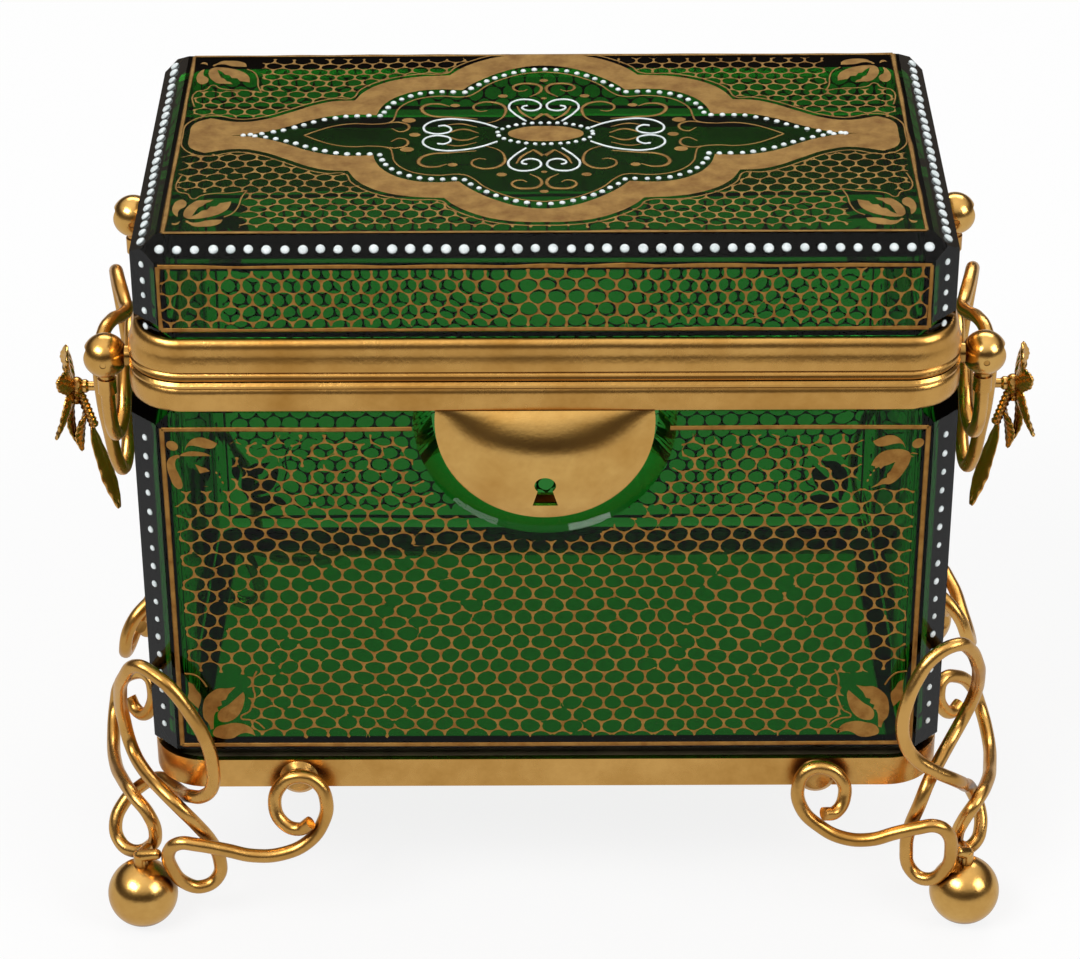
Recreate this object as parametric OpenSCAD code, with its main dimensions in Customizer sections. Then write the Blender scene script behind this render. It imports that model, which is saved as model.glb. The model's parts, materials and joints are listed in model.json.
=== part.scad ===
// Green glass casket with gilt mounts: a bevelled glass box and lid, each bedded in a brass collar,
// joined by a back hinge, standing on wirework feet, with a swinging wire handle at each end.
// Millimetres. Z is up from the table, the front faces -Y, the origin is under the middle of the box.

/* [Glass box] */
// Width of the glass box
body_w = 130; // [110:1:170]
// Depth of the glass box
body_d = 74.8; // [66:0.2:100]
// Thickness of the box walls
body_wall = 5; // [4.6:0.1:6]
// Thickness of the box floor
body_floor = 6.5; // [4:0.5:8]
// Height of the box glass from its underside to its shoulder under the collar
body_h = 70.7; // [60:0.1:90]
// Width that each corner cut takes off the two faces it joins
corner_cut = 4.1; // [2.5:0.1:4.5]
// Height and width of the bevel round the bottom of the glass
foot_bevel = 3; // [1:0.1:3.5]
// Height of the upright rim below that bevel
foot_rim = 3.1; // [0.5:0.1:3.4]
// Height of the slanted cut that ends each corner cut beside a collar
corner_shoulder = 2.4; // [1.6:0.1:3]

/* [Glass lid] */
// How much less the lid glass stands out than the box glass, each side
lid_inset = 1.2; // [0.8:0.1:2]
// Height of the lid glass above its collar
lid_h = 16.3; // [12:0.1:26]
// Thickness of the lid walls
lid_wall = 5; // [4.6:0.1:6]
// Thickness of the lid top
lid_top = 6; // [4:0.5:8]
// Width of the bevel round the lid top
lid_bevel_w = 4.2; // [2:0.1:5]
// Height of the bevel round the lid top
lid_bevel_h = 3; // [1.5:0.1:4]

/* [Collars] */
// Height of the box collar
body_collar_h = 5.1; // [4.8:0.1:7]
// Height of the lid collar
lid_collar_h = 6.9; // [6:0.1:9]
// How far the collars stand out past the box glass
collar_out = 0.4; // [0.3:0.1:0.8]
// Radius of the collars' rounded corners
collar_r = 9; // [8.4:0.1:10]
// Thickness of the collars' sheet brass
collar_t = 0.8; // [0.6:0.1:1]
// Depth of glass held inside each collar
neck_h = 3.8; // [3:0.1:4.2]
// Gap between the closed collars
seam = 0.2; // [0.1:0.05:0.4]

/* [Base band] */
// Height of the band's underside above the table
stand_h = 24.9; // [24:0.1:27]
// Height of the band
band_h = 5.4; // [4.6:0.1:8]
// Thickness of the band
band_t = 1.1; // [0.8:0.1:1.4]
// How far the band's floor reaches in under the glass
band_flange = 7; // [5:0.5:12]

/* [Feet] */
// Diameter of the wire of the feet and handles
wire_d = 2.3; // [1.8:0.1:2.4]
// Diameter of each foot ball
ball_d = 11.7; // [10:0.1:12.2]
// Diameter of the peg on top of each foot ball
peg_d = 2.4; // [1.6:0.1:3]

/* [Handles] */
// Diameter of each handle lug ball
lug_d = 7.2; // [6.8:0.1:8]
// Distance of the lug balls from the middle of the box side, along it
lug_y = 24; // [20:0.5:28]
// Distance from the collar's side to the middle of a lug ball
lug_out = 4.4; // [4.2:0.1:5.5]
// Diameter of the pin in each lug
lug_pin_d = 1; // [0.8:0.1:1.4]
// Diameter of the sleeve in which each handle wire ends
sleeve_d = 3; // [2.7:0.1:3.6]

/* [Hinge] */
// Diameter of the hinge knuckles
knuckle_d = 3.8; // [3.4:0.1:4.4]
// Length of one knuckle
knuckle_l = 8; // [6:0.5:11]
// Diameter of the hinge pin
hinge_pin_d = 1.6; // [1.2:0.1:2]
// Thickness of the hinge leaves
leaf_t = 0.8; // [0.6:0.1:1]

/* [Lock] */
// Radius of the half-moon lock cover
lock_r = 17.25; // [15:0.25:19]
// Rise of the lock cover's dome above its edge
lock_dome = 3.8; // [2.5:0.1:4.5]
// Thickness of the lock cover's sheet
lock_t = 0.7; // [0.6:0.1:1]
// Depth of the round seat ground into the glass for the lock
seat_depth = 2.8; // [2.6:0.1:2.9]
// Radius of the keyhole's round part
key_r = 1.7; // [1.3:0.1:2]
// Travel of the lock bolt
bolt_throw = 2.6; // [2:0.1:2.8]

/* [Hidden] */

gilt = "#c4963f";
gilt_bright = "#d8ab50";
green = "#1c5c26";
plaster = "#d8d2c0";
smooth = 64;

// heights, from the table up
seat_t = 1;
bedding = 0.5;
glass_z = stand_h + seat_t + bedding;
shoulder_z = glass_z + body_h;
seam_z = shoulder_z + body_collar_h;
lid_z = seam_z + seam;
lid_shoulder_z = lid_z + lid_collar_h;
top_z = lid_shoulder_z + lid_h;
floor_z = glass_z + body_floor;

// half sizes; every rounded ring shares the middles of the collar corners
half_w = body_w / 2;
half_d = body_d / 2;
lid_half_w = half_w - lid_inset;
lid_half_d = half_d - lid_inset;
arc_x = half_w + collar_out - collar_r;
arc_y = half_d + collar_out - collar_r;
body_r = collar_r - collar_out;
body_in_r = body_r - body_wall;
lid_r = body_r - lid_inset;
lid_in_r = lid_r - lid_wall;
neck_clear = 0.1;
arris = 0.3;
corner_slope = 0.7;
neck_r = collar_r - collar_t - neck_clear - 0.1;
lid_neck_r = lid_r - 0.2;
lip_t = 0.6;

// hinge
hinge_y = half_d + collar_out + 1.9;
leaf_y = half_d + collar_out - 0.4;
leaf_len = 5 * knuckle_l;
run = 0.05;

// lock
lock_z = shoulder_z - 1.95;
key_z = lock_z - 9.65;
front_y = -half_d;
seat_y = front_y + seat_depth;
cover_edge = 0.8;
dome_r = (lock_r * lock_r + lock_dome * lock_dome) / (2 * lock_dome);
dome_y = front_y - cover_edge - lock_dome + dome_r;
plate_t = 0.6;
bolt_t = 0.9;
bolt_y = seat_y - plate_t - 0.25 - bolt_t;
catch_w = 7;
catch_drop = 9.8;
notch_h = 2.6;
notch_z = seam_z - catch_drop + 1.3;
bolt_h = 2;
bolt_z = notch_z + (notch_h - bolt_h) / 2;
bolt_gap = 0.3;
bolt_low = bolt_z - 5.5;
guide_w = 1.6;
guide_x = catch_w / 2 + 1.7;
bar_x = guide_x + guide_w + bolt_throw + bolt_gap;
bar_w = 2.1;

// handle lugs
lug_x = half_w + collar_out + lug_out;
lug_z = shoulder_z + body_collar_h / 2;
slot_w = 2.9;
sleeve_top = 4.1;
sleeve_len = 2.7;
wire_top = sleeve_top + sleeve_len;

// The wire of a foot, from the top of its big loop to the end of each scroll, as
// [in from the box corner along a face, out from that face, above the table]. The feet were bent by
// hand, so those on the left of the box differ from those on the right.
left_front = [[-1.2, 1.2, 49.9], [-4, -1.4, 45.9], [-5.4, -5.4, 39.5], [-5.5, -8.4, 32.3],
              [-4.4, -7.4, 27.4], [-2, -2.9, 26], [1.5, 2.1, 25.4], [4.5, 4.1, 23.2], [7, 3.9, 19.7],
              [9, 3.3, 16], [10.3, 3, 11.9], [9.9, 3.2, 8.5], [7.4, 4, 7], [4.5, 4.6, 8.2],
              [2.5, 5.2, 11.8], [2.2, 5.8, 15.5], [4, 6.4, 17.8], [7, 6.6, 17.7], [11.9, 6.4, 16.4],
              [16.3, 6.2, 15.1], [21.2, 5.8, 15.2], [25.4, 5, 17], [27.9, 4, 20.2], [28.6, 3.2, 23.8],
              [27.1, 2.4, 27.2], [24, 2.2, 28.4], [21.1, 2.4, 26.7], [20, 3.2, 23.4], [21.3, 4.4, 20.6],
              [24, 5.2, 19.8], [26, 5.6, 21.4]];
left_side = [[-1.2, 1.2, 49.9], [-2.8, -1.8, 49], [-4, -4, 47.6], [-5.2, -7.2, 43.2], [-5.6, -9.5, 38.1],
             [-5.6, -10.4, 32.6], [-5.6, -10, 28.5], [-4.9, -8.4, 26.4], [-3, -6.2, 25],
             [0.4, -4.4, 23.2], [3.4, -2.6, 22.4], [6.8, -0.1, 21.6], [8.9, 4, 18.1], [7.6, 6.6, 15.7],
             [5.8, 7.9, 13],
             [4.3, 7.3, 10.4], [2.3, 4.8, 9.7], [1.3, 1.7, 11.5], [0.5, 0.6, 14.7], [1, 1.6, 18.3],
             [3.2, 4, 20.3], [8.5, 6.4, 19.8], [16, 8.6, 18.2], [24, 9.7, 18.2], [28.8, 9.6, 21.4],
             [28.7, 8.6, 25.6], [27.1, 6, 29], [24.7, 3, 30], [23.3, 2.2, 28.2], [22.8, 2.6, 25.2],
             [23.6, 4.1, 22.9], [25.4, 5.8, 22.8], [26.5, 6.8, 24.4]];
right_front = [[-1.8, 1.2, 53.6], [-4, -0.6, 51.4], [-5.6, -2.6, 47.4], [-6.4, -5.4, 43], [-6.3, -8.4, 36.8],
               [-4.9, -8.4, 32.7], [-2.7, -5.9, 29.8], [-0.5, -1.9, 28.5], [1.7, 2.1, 26.8],
               [3.2, 3.8, 23.4], [4.5, 3.7, 18.7], [4.9, 3.6, 14.3], [4, 4, 10.1], [1.5, 5.4, 9.1],
               [-1.5, 6.2, 11.9],
               [-2.2, 6.5, 15.9], [-1.3, 6.7, 19.8], [0.7, 6.9, 21.3], [3.6, 6.9, 20.9], [7, 6.7, 19.8],
               [11.4, 6.2, 18], [15.9, 5.6, 18], [19.7, 4.8, 19.8], [22.7, 3.8, 22.8], [23.3, 2.8, 26.5],
               [21.7, 2.2, 29.3], [18.7, 2.2, 29.7], [16.2, 2.6, 27.7], [15.6, 3.2, 24.9],
               [17, 4.6, 22.6], [19.2, 5.8, 23]];
right_side = [[-1.8, 1.2, 53.6], [-3, -2.4, 52.2], [-4.2, -4.9, 48.8], [-5.2, -6.4, 45], [-5.6, -7, 40.8],
              [-5.6, -6.4, 37.2], [-5.4, -4.6, 34], [-5.2, -1.5, 31.4], [-3.8, 2.4, 28.4], [3.3, 5, 22.2],
              [7.7, 7, 17.7], [6.4, 8.3, 14.8], [4.4, 8.4, 12.2], [3.2, 7.6, 10.4], [2.4, 6, 9.6],
              [1.4, 4.5, 11], [0.4, 4, 14], [-0.2, 4.8, 17.4], [0.8, 6.8, 20.4], [6.5, 9.2, 20.2],
              [14.4, 10.7, 18.4],
              [22.4, 11.2, 18.4], [27.2, 10, 22], [26.9, 8.4, 26], [25.1, 5.4, 29.2], [23.2, 2.9, 29.8],
              [22.1, 2.2, 28], [21.9, 2.8, 25.2], [23.1, 4.7, 23.1], [24.8, 6.2, 23.6]];

// Half of a handle's wire, from under its lug to the middle, as [out past the lug, in from the lug, down].
handle_half = [[0, 0, wire_top], [0, 0.2, 10], [-0.2, 1.2, 14], [-0.6, 3.8, 16.6], [-1.2, 7.2, 15.4],
               [-1.2, 11, 11.8], [-0.9, 15, 10], [-0.6, 18.2, 12], [-0.5, 19.4, 17], [-0.5, 18.8, 22.4],
               [-0.4, 16.4, 27], [0, 13.2, 28.8], [0.6, 10.4, 26], [1.3, 8.8, 19.6], [2, 8.2, 12.6],
               [2.3, 9.6, 7], [1.9, 13, 3.6], [0.9, 17.6, 3.4], [-0.2, 21.4, 4.6], [-0.8, 24, 5]];

// maths for wires and leaves
function unit(v) = v / norm(v);
function bend(p, i) = let (n = len(p) - 1) p[min(max(i, 0), n)];
function curve_at(p, i, t) =
    let (a = bend(p, i - 1), b = bend(p, i), c = bend(p, i + 1), d = bend(p, i + 2))
    0.5 * (2 * b + (c - a) * t + (2 * a - 5 * b + 4 * c - d) * t * t + (3 * b - a - 3 * c + d) * t * t * t);
function smooth_path(p, steps) =
    [for (i = [0 : len(p) - 2]) for (k = [0 : steps - 1]) curve_at(p, i, k / steps), p[len(p) - 1]];
function reversed(p) = [for (i = [len(p) - 1 : -1 : 0]) p[i]];
function run_of(p, i) = unit(bend(p, i + 1) - bend(p, i - 1));
function turned(n, t) = unit(n - (n * t) * t);
function side_of(p) =
    [for (i = 0, n = turned([0.3, 0.2, 0.9], run_of(p, 0)); i < len(p);
          i = i + 1, n = turned(n, run_of(p, min(i, len(p) - 1)))) n];

// a round wire swept along a list of points
module wire(p, d, sides = 8) {
    n = len(p);
    s = side_of(p);
    rings = [for (i = [0 : n - 1]) let (t = run_of(p, i), u = s[i], v = cross(t, u))
             for (k = [0 : sides - 1]) p[i] + d / 2 * (cos(360 * k / sides) * u + sin(360 * k / sides) * v)];
    walls = [for (i = [0 : n - 2]) for (k = [0 : sides - 1])
             let (a = i * sides + k, b = i * sides + (k + 1) % sides)
             each [[a, b + sides, b], [a, a + sides, b + sides]]];
    first = [for (k = [1 : sides - 2]) [0, k, k + 1]];
    last = [for (k = [1 : sides - 2]) let (e = (n - 1) * sides) [e, e + k + 1, e + k]];
    polyhedron(rings, concat(walls, first, last), convexity = 10);
}

// a solid with rounded corners, r out from the collars' corner middles
module round_block(r, z, h) {
    translate([0, 0, z])
        linear_extrude(h)
            union() {
                square([2 * arc_x, 2 * (arc_y + r)], center = true);
                square([2 * (arc_x + r), 2 * arc_y], center = true);
                for (x = [-1, 1]) for (y = [-1, 1])
                    translate([x * arc_x, y * arc_y])
                        circle(r, $fn = smooth);
            }
}

// a moulded ring: profile is drawn as [out from the corner middles, height]
module moulded_ring(profile) {
    for (side = [0, 1]) rotate(180 * side) {
        translate([0, -arc_y, 0])
            rotate([90, 0, 90])
                translate([0, 0, -arc_x])
                    linear_extrude(2 * arc_x)
                        mirror([1, 0]) polygon(profile);
        translate([arc_x, 0, 0])
            rotate([90, 0, 180])
                translate([0, 0, -arc_y])
                    linear_extrude(2 * arc_y)
                        mirror([1, 0]) polygon(profile);
        for (turn = [0, 1])
            translate([(turn == 0 ? 1 : -1) * arc_x, arc_y, 0])
                rotate(90 * turn)
                    rotate_extrude(angle = 90, $fn = smooth) polygon(profile);
    }
}

// a block with its four upright edges cut flat
module cut_corner_block(hw, hd, z, h) {
    c = corner_cut;
    translate([0, 0, z])
        linear_extrude(h)
            polygon([[hw - c, -hd], [hw, -hd + c], [hw, hd - c], [hw - c, hd],
                     [-hw + c, hd], [-hw, hd - c], [-hw, -hd + c], [-hw + c, -hd]]);
}

// the upright section of a block with a bottom bevel, raised on a rim, and a top bevel; h is half its size
function bevelled(h, z0, z1, rim, low, top_w, top_h) =
    concat([[-h + low, z0], [h - low, z0]],
           rim > 0 ? [[h - low, z0 + rim]] : [],
           [[h, z0 + rim + low], [h, z1 - top_h], [h - top_w, z1], [-h + top_w, z1],
            [-h, z1 - top_h], [-h, z0 + rim + low]],
           rim > 0 ? [[-h + low, z0 + rim]] : []);

module bevel_all_round(hw, hd, z0, z1, rim, low, top_w, top_h) {
    intersection() {
        cut_corner_block(hw, hd, z0, z1 - z0);
        rotate([90, 0, 0])
            translate([0, 0, -hd - 1])
                linear_extrude(2 * hd + 2)
                    polygon(bevelled(hw, z0, z1, rim, low, top_w, top_h));
        rotate([90, 0, 90])
            translate([0, 0, -hw - 1])
                linear_extrude(2 * hw + 2)
                    polygon(bevelled(hd, z0, z1, rim, low, top_w, top_h));
    }
}

// the wedge that slants the end of each corner cut towards its collar; up is 1 under a collar, -1 above one
module shoulder_cuts(hw, hd, z, up) {
    reach = corner_cut / sqrt(2);
    for (x = [-1, 1]) for (y = [-1, 1])
        translate([x * hw, y * hd, z])
            rotate(atan2(y, x))
                rotate([90, 0, 0])
                    translate([-reach, 0, -8])
                        linear_extrude(16)
                            polygon([[corner_slope, -up * (corner_shoulder + 1)],
                                     [4, -up * (corner_shoulder + 1)], [4, up],
                                     [-corner_slope * (corner_shoulder + 1), up]]);
}

// carries the bottom bevel and the rim on round the cut corners
module rim_cuts() {
    reach = corner_cut / sqrt(2);
    bevel_z = glass_z + foot_rim;
    for (x = [-1, 1]) for (y = [-1, 1])
        translate([x * half_w, y * half_d, 0])
            rotate(atan2(y, x))
                rotate([90, 0, 0])
                    translate([-reach, 0, -8])
                        linear_extrude(16)
                            polygon([[4, bevel_z + foot_bevel + 1], [corner_slope, bevel_z + foot_bevel + 1],
                                     [-foot_bevel * corner_slope, bevel_z],
                                     [-foot_bevel * corner_slope, glass_z - 1], [4, glass_z - 1]]);
}

// the round seat ground into the front of the glass for the lock
module lock_seat(grow = 0) {
    intersection() {
        translate([0, seat_y + grow, lock_z])
            rotate([90, 0, 0])
                cylinder(r1 = lock_r + 0.6 + grow, r2 = lock_r + 3.4 + grow, h = seat_depth + grow + 0.01,
                         $fn = 96);
        translate([-50, -half_d - 5, 0]) cube([100, 20, 200]);
    }
}

module box_outside() {
    difference() {
        bevel_all_round(half_w, half_d, glass_z, shoulder_z, foot_rim, foot_bevel, arris, arris);
        rim_cuts();
    }
}

module body_glass() {
    color(green, 0.6)
        difference() {
            union() {
                difference() {
                    box_outside();
                    shoulder_cuts(half_w, half_d, shoulder_z, 1);
                }
                round_block(neck_r, shoulder_z - 1, neck_h + 1);
            }
            round_block(body_in_r, floor_z, 100);
            lock_seat();
        }
}

module lid_glass() {
    color(green, 0.6)
        difference() {
            union() {
                difference() {
                    bevel_all_round(lid_half_w, lid_half_d, lid_shoulder_z, top_z, 0, arris, lid_bevel_w,
                                    lid_bevel_h);
                    shoulder_cuts(lid_half_w, lid_half_d, lid_shoulder_z, -1);
                }
                round_block(lid_neck_r - 0.4, lid_shoulder_z - neck_h, neck_h + 1);
            }
            round_block(lid_in_r, lid_shoulder_z - 20, 20 + lid_h - lid_top);
        }
}

// collar sections: a moulded outer wall, the flat face at the seam and a thin lip inside the glass
body_collar_section = concat(
    [[body_in_r - lip_t - 0.1, shoulder_z - 0.6], [body_in_r - 0.1, shoulder_z - 0.6],
     [body_in_r - 0.1, seam_z - collar_t], [collar_r - collar_t, seam_z - collar_t],
     [collar_r - collar_t, shoulder_z], [collar_r - 0.35, shoulder_z], [collar_r - 0.1, shoulder_z + 0.5],
     [collar_r, shoulder_z + 1.4], [collar_r, seam_z - 2.2], [collar_r - 0.1, seam_z - 1.6],
     [collar_r - 0.4, seam_z - 1.2], [collar_r - 0.1, seam_z - 0.9], [collar_r - 0.05, seam_z - 0.5],
     [collar_r - 0.4, seam_z - 0.05], [collar_r - 0.6, seam_z], [body_in_r - lip_t - 0.1, seam_z]]);

lid_rise = body_r - lid_r + collar_out;
lid_collar_section = concat(
    [[lid_in_r - lip_t - 0.1, lid_shoulder_z - 0.6], [lid_in_r - lip_t - 0.1, lid_z],
     [collar_r - 0.6, lid_z], [collar_r - 0.35, lid_z + 0.05], [collar_r - 0.15, lid_z + 0.4],
     [collar_r - 0.3, lid_z + 0.75], [collar_r - 0.1, lid_z + 0.95], [collar_r - 0.1, lid_z + 1.2],
     [collar_r - 0.35, lid_z + 1.45], [collar_r - 0.05, lid_z + 1.8], [collar_r, lid_z + 2.6],
     [collar_r - 0.1, lid_z + 3.3], [collar_r - 0.35, lid_z + 4.1], [collar_r - 0.55, lid_z + 4.7],
     [collar_r - 0.55, lid_z + 5.2], [collar_r - 0.7, lid_z + 5.9],
     [collar_r - lid_rise + 0.45, lid_shoulder_z - 0.25], [collar_r - lid_rise + 0.05, lid_shoulder_z],
     [lid_neck_r - 0.3, lid_shoulder_z], [lid_neck_r - 0.3, lid_z + collar_t],
     [lid_in_r - 0.1, lid_z + collar_t], [lid_in_r - 0.1, lid_shoulder_z - 0.6]]);

// the flat on the back of a collar where a hinge leaf is soldered
module hinge_flat() {
    translate([-leaf_len / 2 - 0.5, leaf_y, shoulder_z - 1])
        cube([leaf_len + 1, 10, body_collar_h + lid_collar_h + 3]);
}

// the slot for the catch, clear of the arc it swings through
module catch_slot() {
    translate([-catch_w / 2 - bolt_gap, bolt_y - 0.9, shoulder_z - 1])
        cube([catch_w + 2 * bolt_gap, bolt_t + 0.9 + 0.25, body_collar_h + 2]);
}

module body_collar() {
    color(gilt)
        difference() {
            moulded_ring(body_collar_section);
            hinge_flat();
            catch_slot();
        }
}

module lid_collar() {
    color(gilt)
        difference() {
            moulded_ring(lid_collar_section);
            hinge_flat();
            translate([-catch_w / 2 - run, bolt_y - run, lid_z - 1])
                cube([catch_w + 2 * run, bolt_t + 2 * run, collar_t + 1]);
        }
}

// plaster that beds the edge of the glass in its collar
module body_cement() {
    color(plaster)
        difference() {
            round_block(collar_r - collar_t, shoulder_z + 0.2, body_collar_h - collar_t - 0.2);
            round_block(neck_r, shoulder_z - 1, neck_h + 1);
            round_block(body_in_r, shoulder_z - 1, 20);
            lock_seat(0.05);
            catch_slot();
        }
}

module lid_cement() {
    color(plaster)
        difference() {
            round_block(lid_neck_r - 0.3, lid_z + collar_t, lid_collar_h - collar_t - 0.2);
            round_block(lid_neck_r - 0.4, lid_shoulder_z - neck_h, 20);
            round_block(lid_in_r, lid_z - 1, 30);
        }
}

band_r = collar_r - 0.2;
module base_band() {
    color(gilt)
        difference() {
            round_block(band_r, stand_h, band_h);
            round_block(band_r - band_t, stand_h + seat_t, band_h);
            round_block(band_r - band_t - band_flange, stand_h - 1, 10);
        }
}

module base_cement() {
    color(plaster)
        difference() {
            round_block(band_r - band_t, stand_h + seat_t, band_h - seat_t - 0.6);
            box_outside();
            round_block(band_r - band_t - band_flange, stand_h - 1, 20);
        }
}

// places a piece made for the front left corner at another corner
module at_corner(x, y) {
    mirror([x > 0 ? 1 : 0, 0, 0]) mirror([0, y > 0 ? 1 : 0, 0]) children();
}

// points of a foot's wire at the front left corner: one half lies along the front, the other along the side
function on_front(p) = [for (q = p) [-half_w + q[0], -half_d - q[1], q[2]]];
function on_side(p) = [for (q = p) [-half_w - q[1], -half_d + q[0], q[2]]];

module foot_wire(x, y) {
    side = on_side(x < 0 ? left_side : right_side);
    path = concat(reversed(on_front(x < 0 ? left_front : right_front)),
                  [for (i = [1 : len(side) - 1]) side[i]]);
    color(gilt)
        at_corner(x, y)
            wire(smooth_path(path, 2), wire_d);
}

// a ball and its peg, with two short arms at the top that reach the small loops on either side
ball_y = half_d + 3.8;
ball_flat = 0.15;
module foot_ball(x, y) {
    ball_x = half_w + (x < 0 ? 2.8 : 5.2);
    arms = x < 0 ? [[2.8, -0.9, 0.6], [0.9, 2.4, -0.6]] : [[1.4, -1, 0.6], [0.4, 2.3, -0.6]];
    color(gilt_bright)
        at_corner(x, y)
            translate([-ball_x, -ball_y, 0])
                union() {
                    difference() {
                        translate([0, 0, ball_d / 2 - ball_flat]) sphere(d = ball_d, $fn = smooth);
                        translate([-10, -10, -10]) cube([20, 20, 10]);
                    }
                    translate([0, 0, ball_d - 0.6]) cylinder(d = peg_d, h = 2.6, $fn = smooth);
                    for (to = arms)
                        hull() {
                            translate([0, 0, ball_d + 1.6]) sphere(d = 2.2, $fn = 20);
                            translate([to[0], to[1], ball_d + 2 + to[2]]) sphere(d = 1.8, $fn = 20);
                        }
                }
}

// the solder pad that joins each scroll to the band
module scroll_pads() {
    pad_r = 3.2;
    pad_z = stand_h + 1.9;
    color(gilt)
        for (x = [-1, 1]) for (y = [-1, 1]) at_corner(x, y) {
            translate([-half_w + (x < 0 ? 24 : 20.2), -arc_y - band_r, pad_z])
                rotate([90, 0, 0]) cylinder(r1 = pad_r, r2 = pad_r - 0.9, h = 0.75, $fn = smooth);
            translate([-arc_x - band_r, -half_d + (x < 0 ? 23.6 : 22.4), pad_z])
                rotate([0, -90, 0]) cylinder(r1 = pad_r, r2 = pad_r - 0.9, h = 0.75, $fn = smooth);
        }
}

// a handle lug: a ball on a short neck, slotted below and outside for the handle's eye
module lug() {
    difference() {
        union() {
            sphere(d = lug_d, $fn = smooth);
            rotate([0, 90, 0]) cylinder(d = 3.4, h = lug_out, $fn = smooth);
        }
        translate([-lug_d, -slot_w / 2, -lug_d]) cube([lug_d + 1.75, slot_w, lug_d + 1.75]);
        rotate([90, 0, 0]) cylinder(d = lug_pin_d + 0.02, h = lug_d + 2, center = true, $fn = smooth);
    }
}

module at_lugs(side) {
    mirror([side > 0 ? 1 : 0, 0, 0])
        for (y = [-1, 1])
            translate([-lug_x, y * lug_y, lug_z]) mirror([0, y > 0 ? 1 : 0, 0]) children();
}

module handle_lugs(side) {
    color(gilt_bright) at_lugs(side) lug();
}

module handle_pins() {
    color(gilt)
        for (side = [-1, 1]) at_lugs(side)
            rotate([90, 0, 0]) cylinder(d = lug_pin_d, h = lug_d - 0.3, center = true, $fn = smooth);
}

// the eye that turns on a lug pin, with the sleeve that the handle's wire is soldered into
module handle_sleeves(side) {
    eye_t = slot_w - 0.4;
    color(gilt)
        at_lugs(side)
            difference() {
                union() {
                    rotate([90, 0, 0]) cylinder(d = 2.8, h = eye_t, center = true, $fn = smooth);
                    translate([0, 0, -sleeve_top]) cylinder(d = eye_t - 0.1, h = sleeve_top, $fn = smooth);
                    translate([0, 0, -wire_top]) cylinder(d = sleeve_d, h = sleeve_len, $fn = smooth);
                }
                rotate([90, 0, 0]) cylinder(d = lug_pin_d + 2 * run, h = 10, center = true, $fn = smooth);
            }
}

module handle_wire(side) {
    half = [for (q = handle_half) [-lug_x - q[0], -lug_y + q[1], lug_z - q[2]]];
    other = [for (i = [len(half) - 2 : -1 : 0]) [half[i][0], -half[i][1], half[i][2]]];
    color(gilt)
        mirror([side > 0 ? 1 : 0, 0, 0])
            wire(smooth_path(concat(half, other), 3), wire_d);
}

// the clasp that holds the leaf spray to the two inner strands of a handle
clasp_z = lug_z - 19.5;
clasp_x = lug_x - 0.5 + wire_d / 2 + 0.1;
spray_x = lug_x + 8.4;
spray_boss = 1.9;
module handle_clasp(side) {
    color(gilt)
        mirror([side > 0 ? 1 : 0, 0, 0]) {
            translate([-clasp_x - 1.1, -5.6, clasp_z - 1.5]) cube([1.1, 11.2, 3]);
            translate([-clasp_x - 1, 0, clasp_z])
                rotate([0, -90, 0]) cylinder(d = 1.6, h = spray_x - clasp_x - 1 - spray_boss, $fn = smooth);
        }
}

// one cast leaf: it grows along +Z, faces -X, cups across its rib, curls along its length and twists
leaf_rows = 9;
function leaf_width(t) = 0.12 + pow(sin(180 * pow(t, 0.72)), 0.8);
function leaf_point(l, w, curl, twist, t, s, lift) =
    let (a = curl * t,
         bow = l * 180 / (PI * curl),
         reach = [bow * (1 - cos(a)), bow * sin(a)],
         across = s * w / 2 * leaf_width(t),
         cup = 0.22 * w * s * s * leaf_width(t) + lift,
         c = cos(twist * t), n = sin(twist * t))
    [-reach[0] - cup * c * cos(a) - across * n, across * c - cup * n, reach[1] + cup * c * sin(a)];
module leaf(l, w, curl, twist, thick = 0.9) {
    across = [-1, -0.5, 0, 0.5, 1];
    m = len(across);
    top = [for (i = [0 : leaf_rows]) for (s = across)
           leaf_point(l, w, curl, twist, i / leaf_rows, s, thick * (0.35 + 0.45 * (1 - abs(s))))];
    under = [for (i = [0 : leaf_rows]) for (s = across) leaf_point(l, w, curl, twist, i / leaf_rows, s, 0)];
    n = (leaf_rows + 1) * m;
    grid = [for (i = [0 : leaf_rows - 1]) for (k = [0 : m - 2]) let (a = i * m + k)
            each [[a, a + 1, a + m + 1], [a, a + m + 1, a + m],
                  [n + a, n + a + m + 1, n + a + 1], [n + a, n + a + m, n + a + m + 1]]];
    edges = [for (i = [0 : leaf_rows - 1]) let (a = i * m, b = i * m + m - 1)
             each [[a, a + m, n + a + m], [a, n + a + m, n + a],
                   [b, n + b + m, b + m], [b, n + b, n + b + m]]];
    ends = [for (k = [0 : m - 2]) let (z = leaf_rows * m + k)
            each [[k, n + k + 1, k + 1], [k, n + k, n + k + 1],
                  [z, z + 1, n + z + 1], [z, n + z + 1, n + z]]];
    polyhedron(concat(top, under), concat(grid, edges, ends), convexity = 6);
}

// a ringed stem, as if bound with fine wire
module stem(l, d) {
    rings = floor(l / 0.9);
    step = l / rings;
    rotate_extrude($fn = 24)
        polygon(concat([[0, 0]],
                       [for (i = [0 : rings - 1])
                           each [[d / 2 - 0.15, i * step], [d / 2, (i + 0.5) * step]]],
                       [[d / 2 - 0.15, l], [0, l]]));
}

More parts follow.
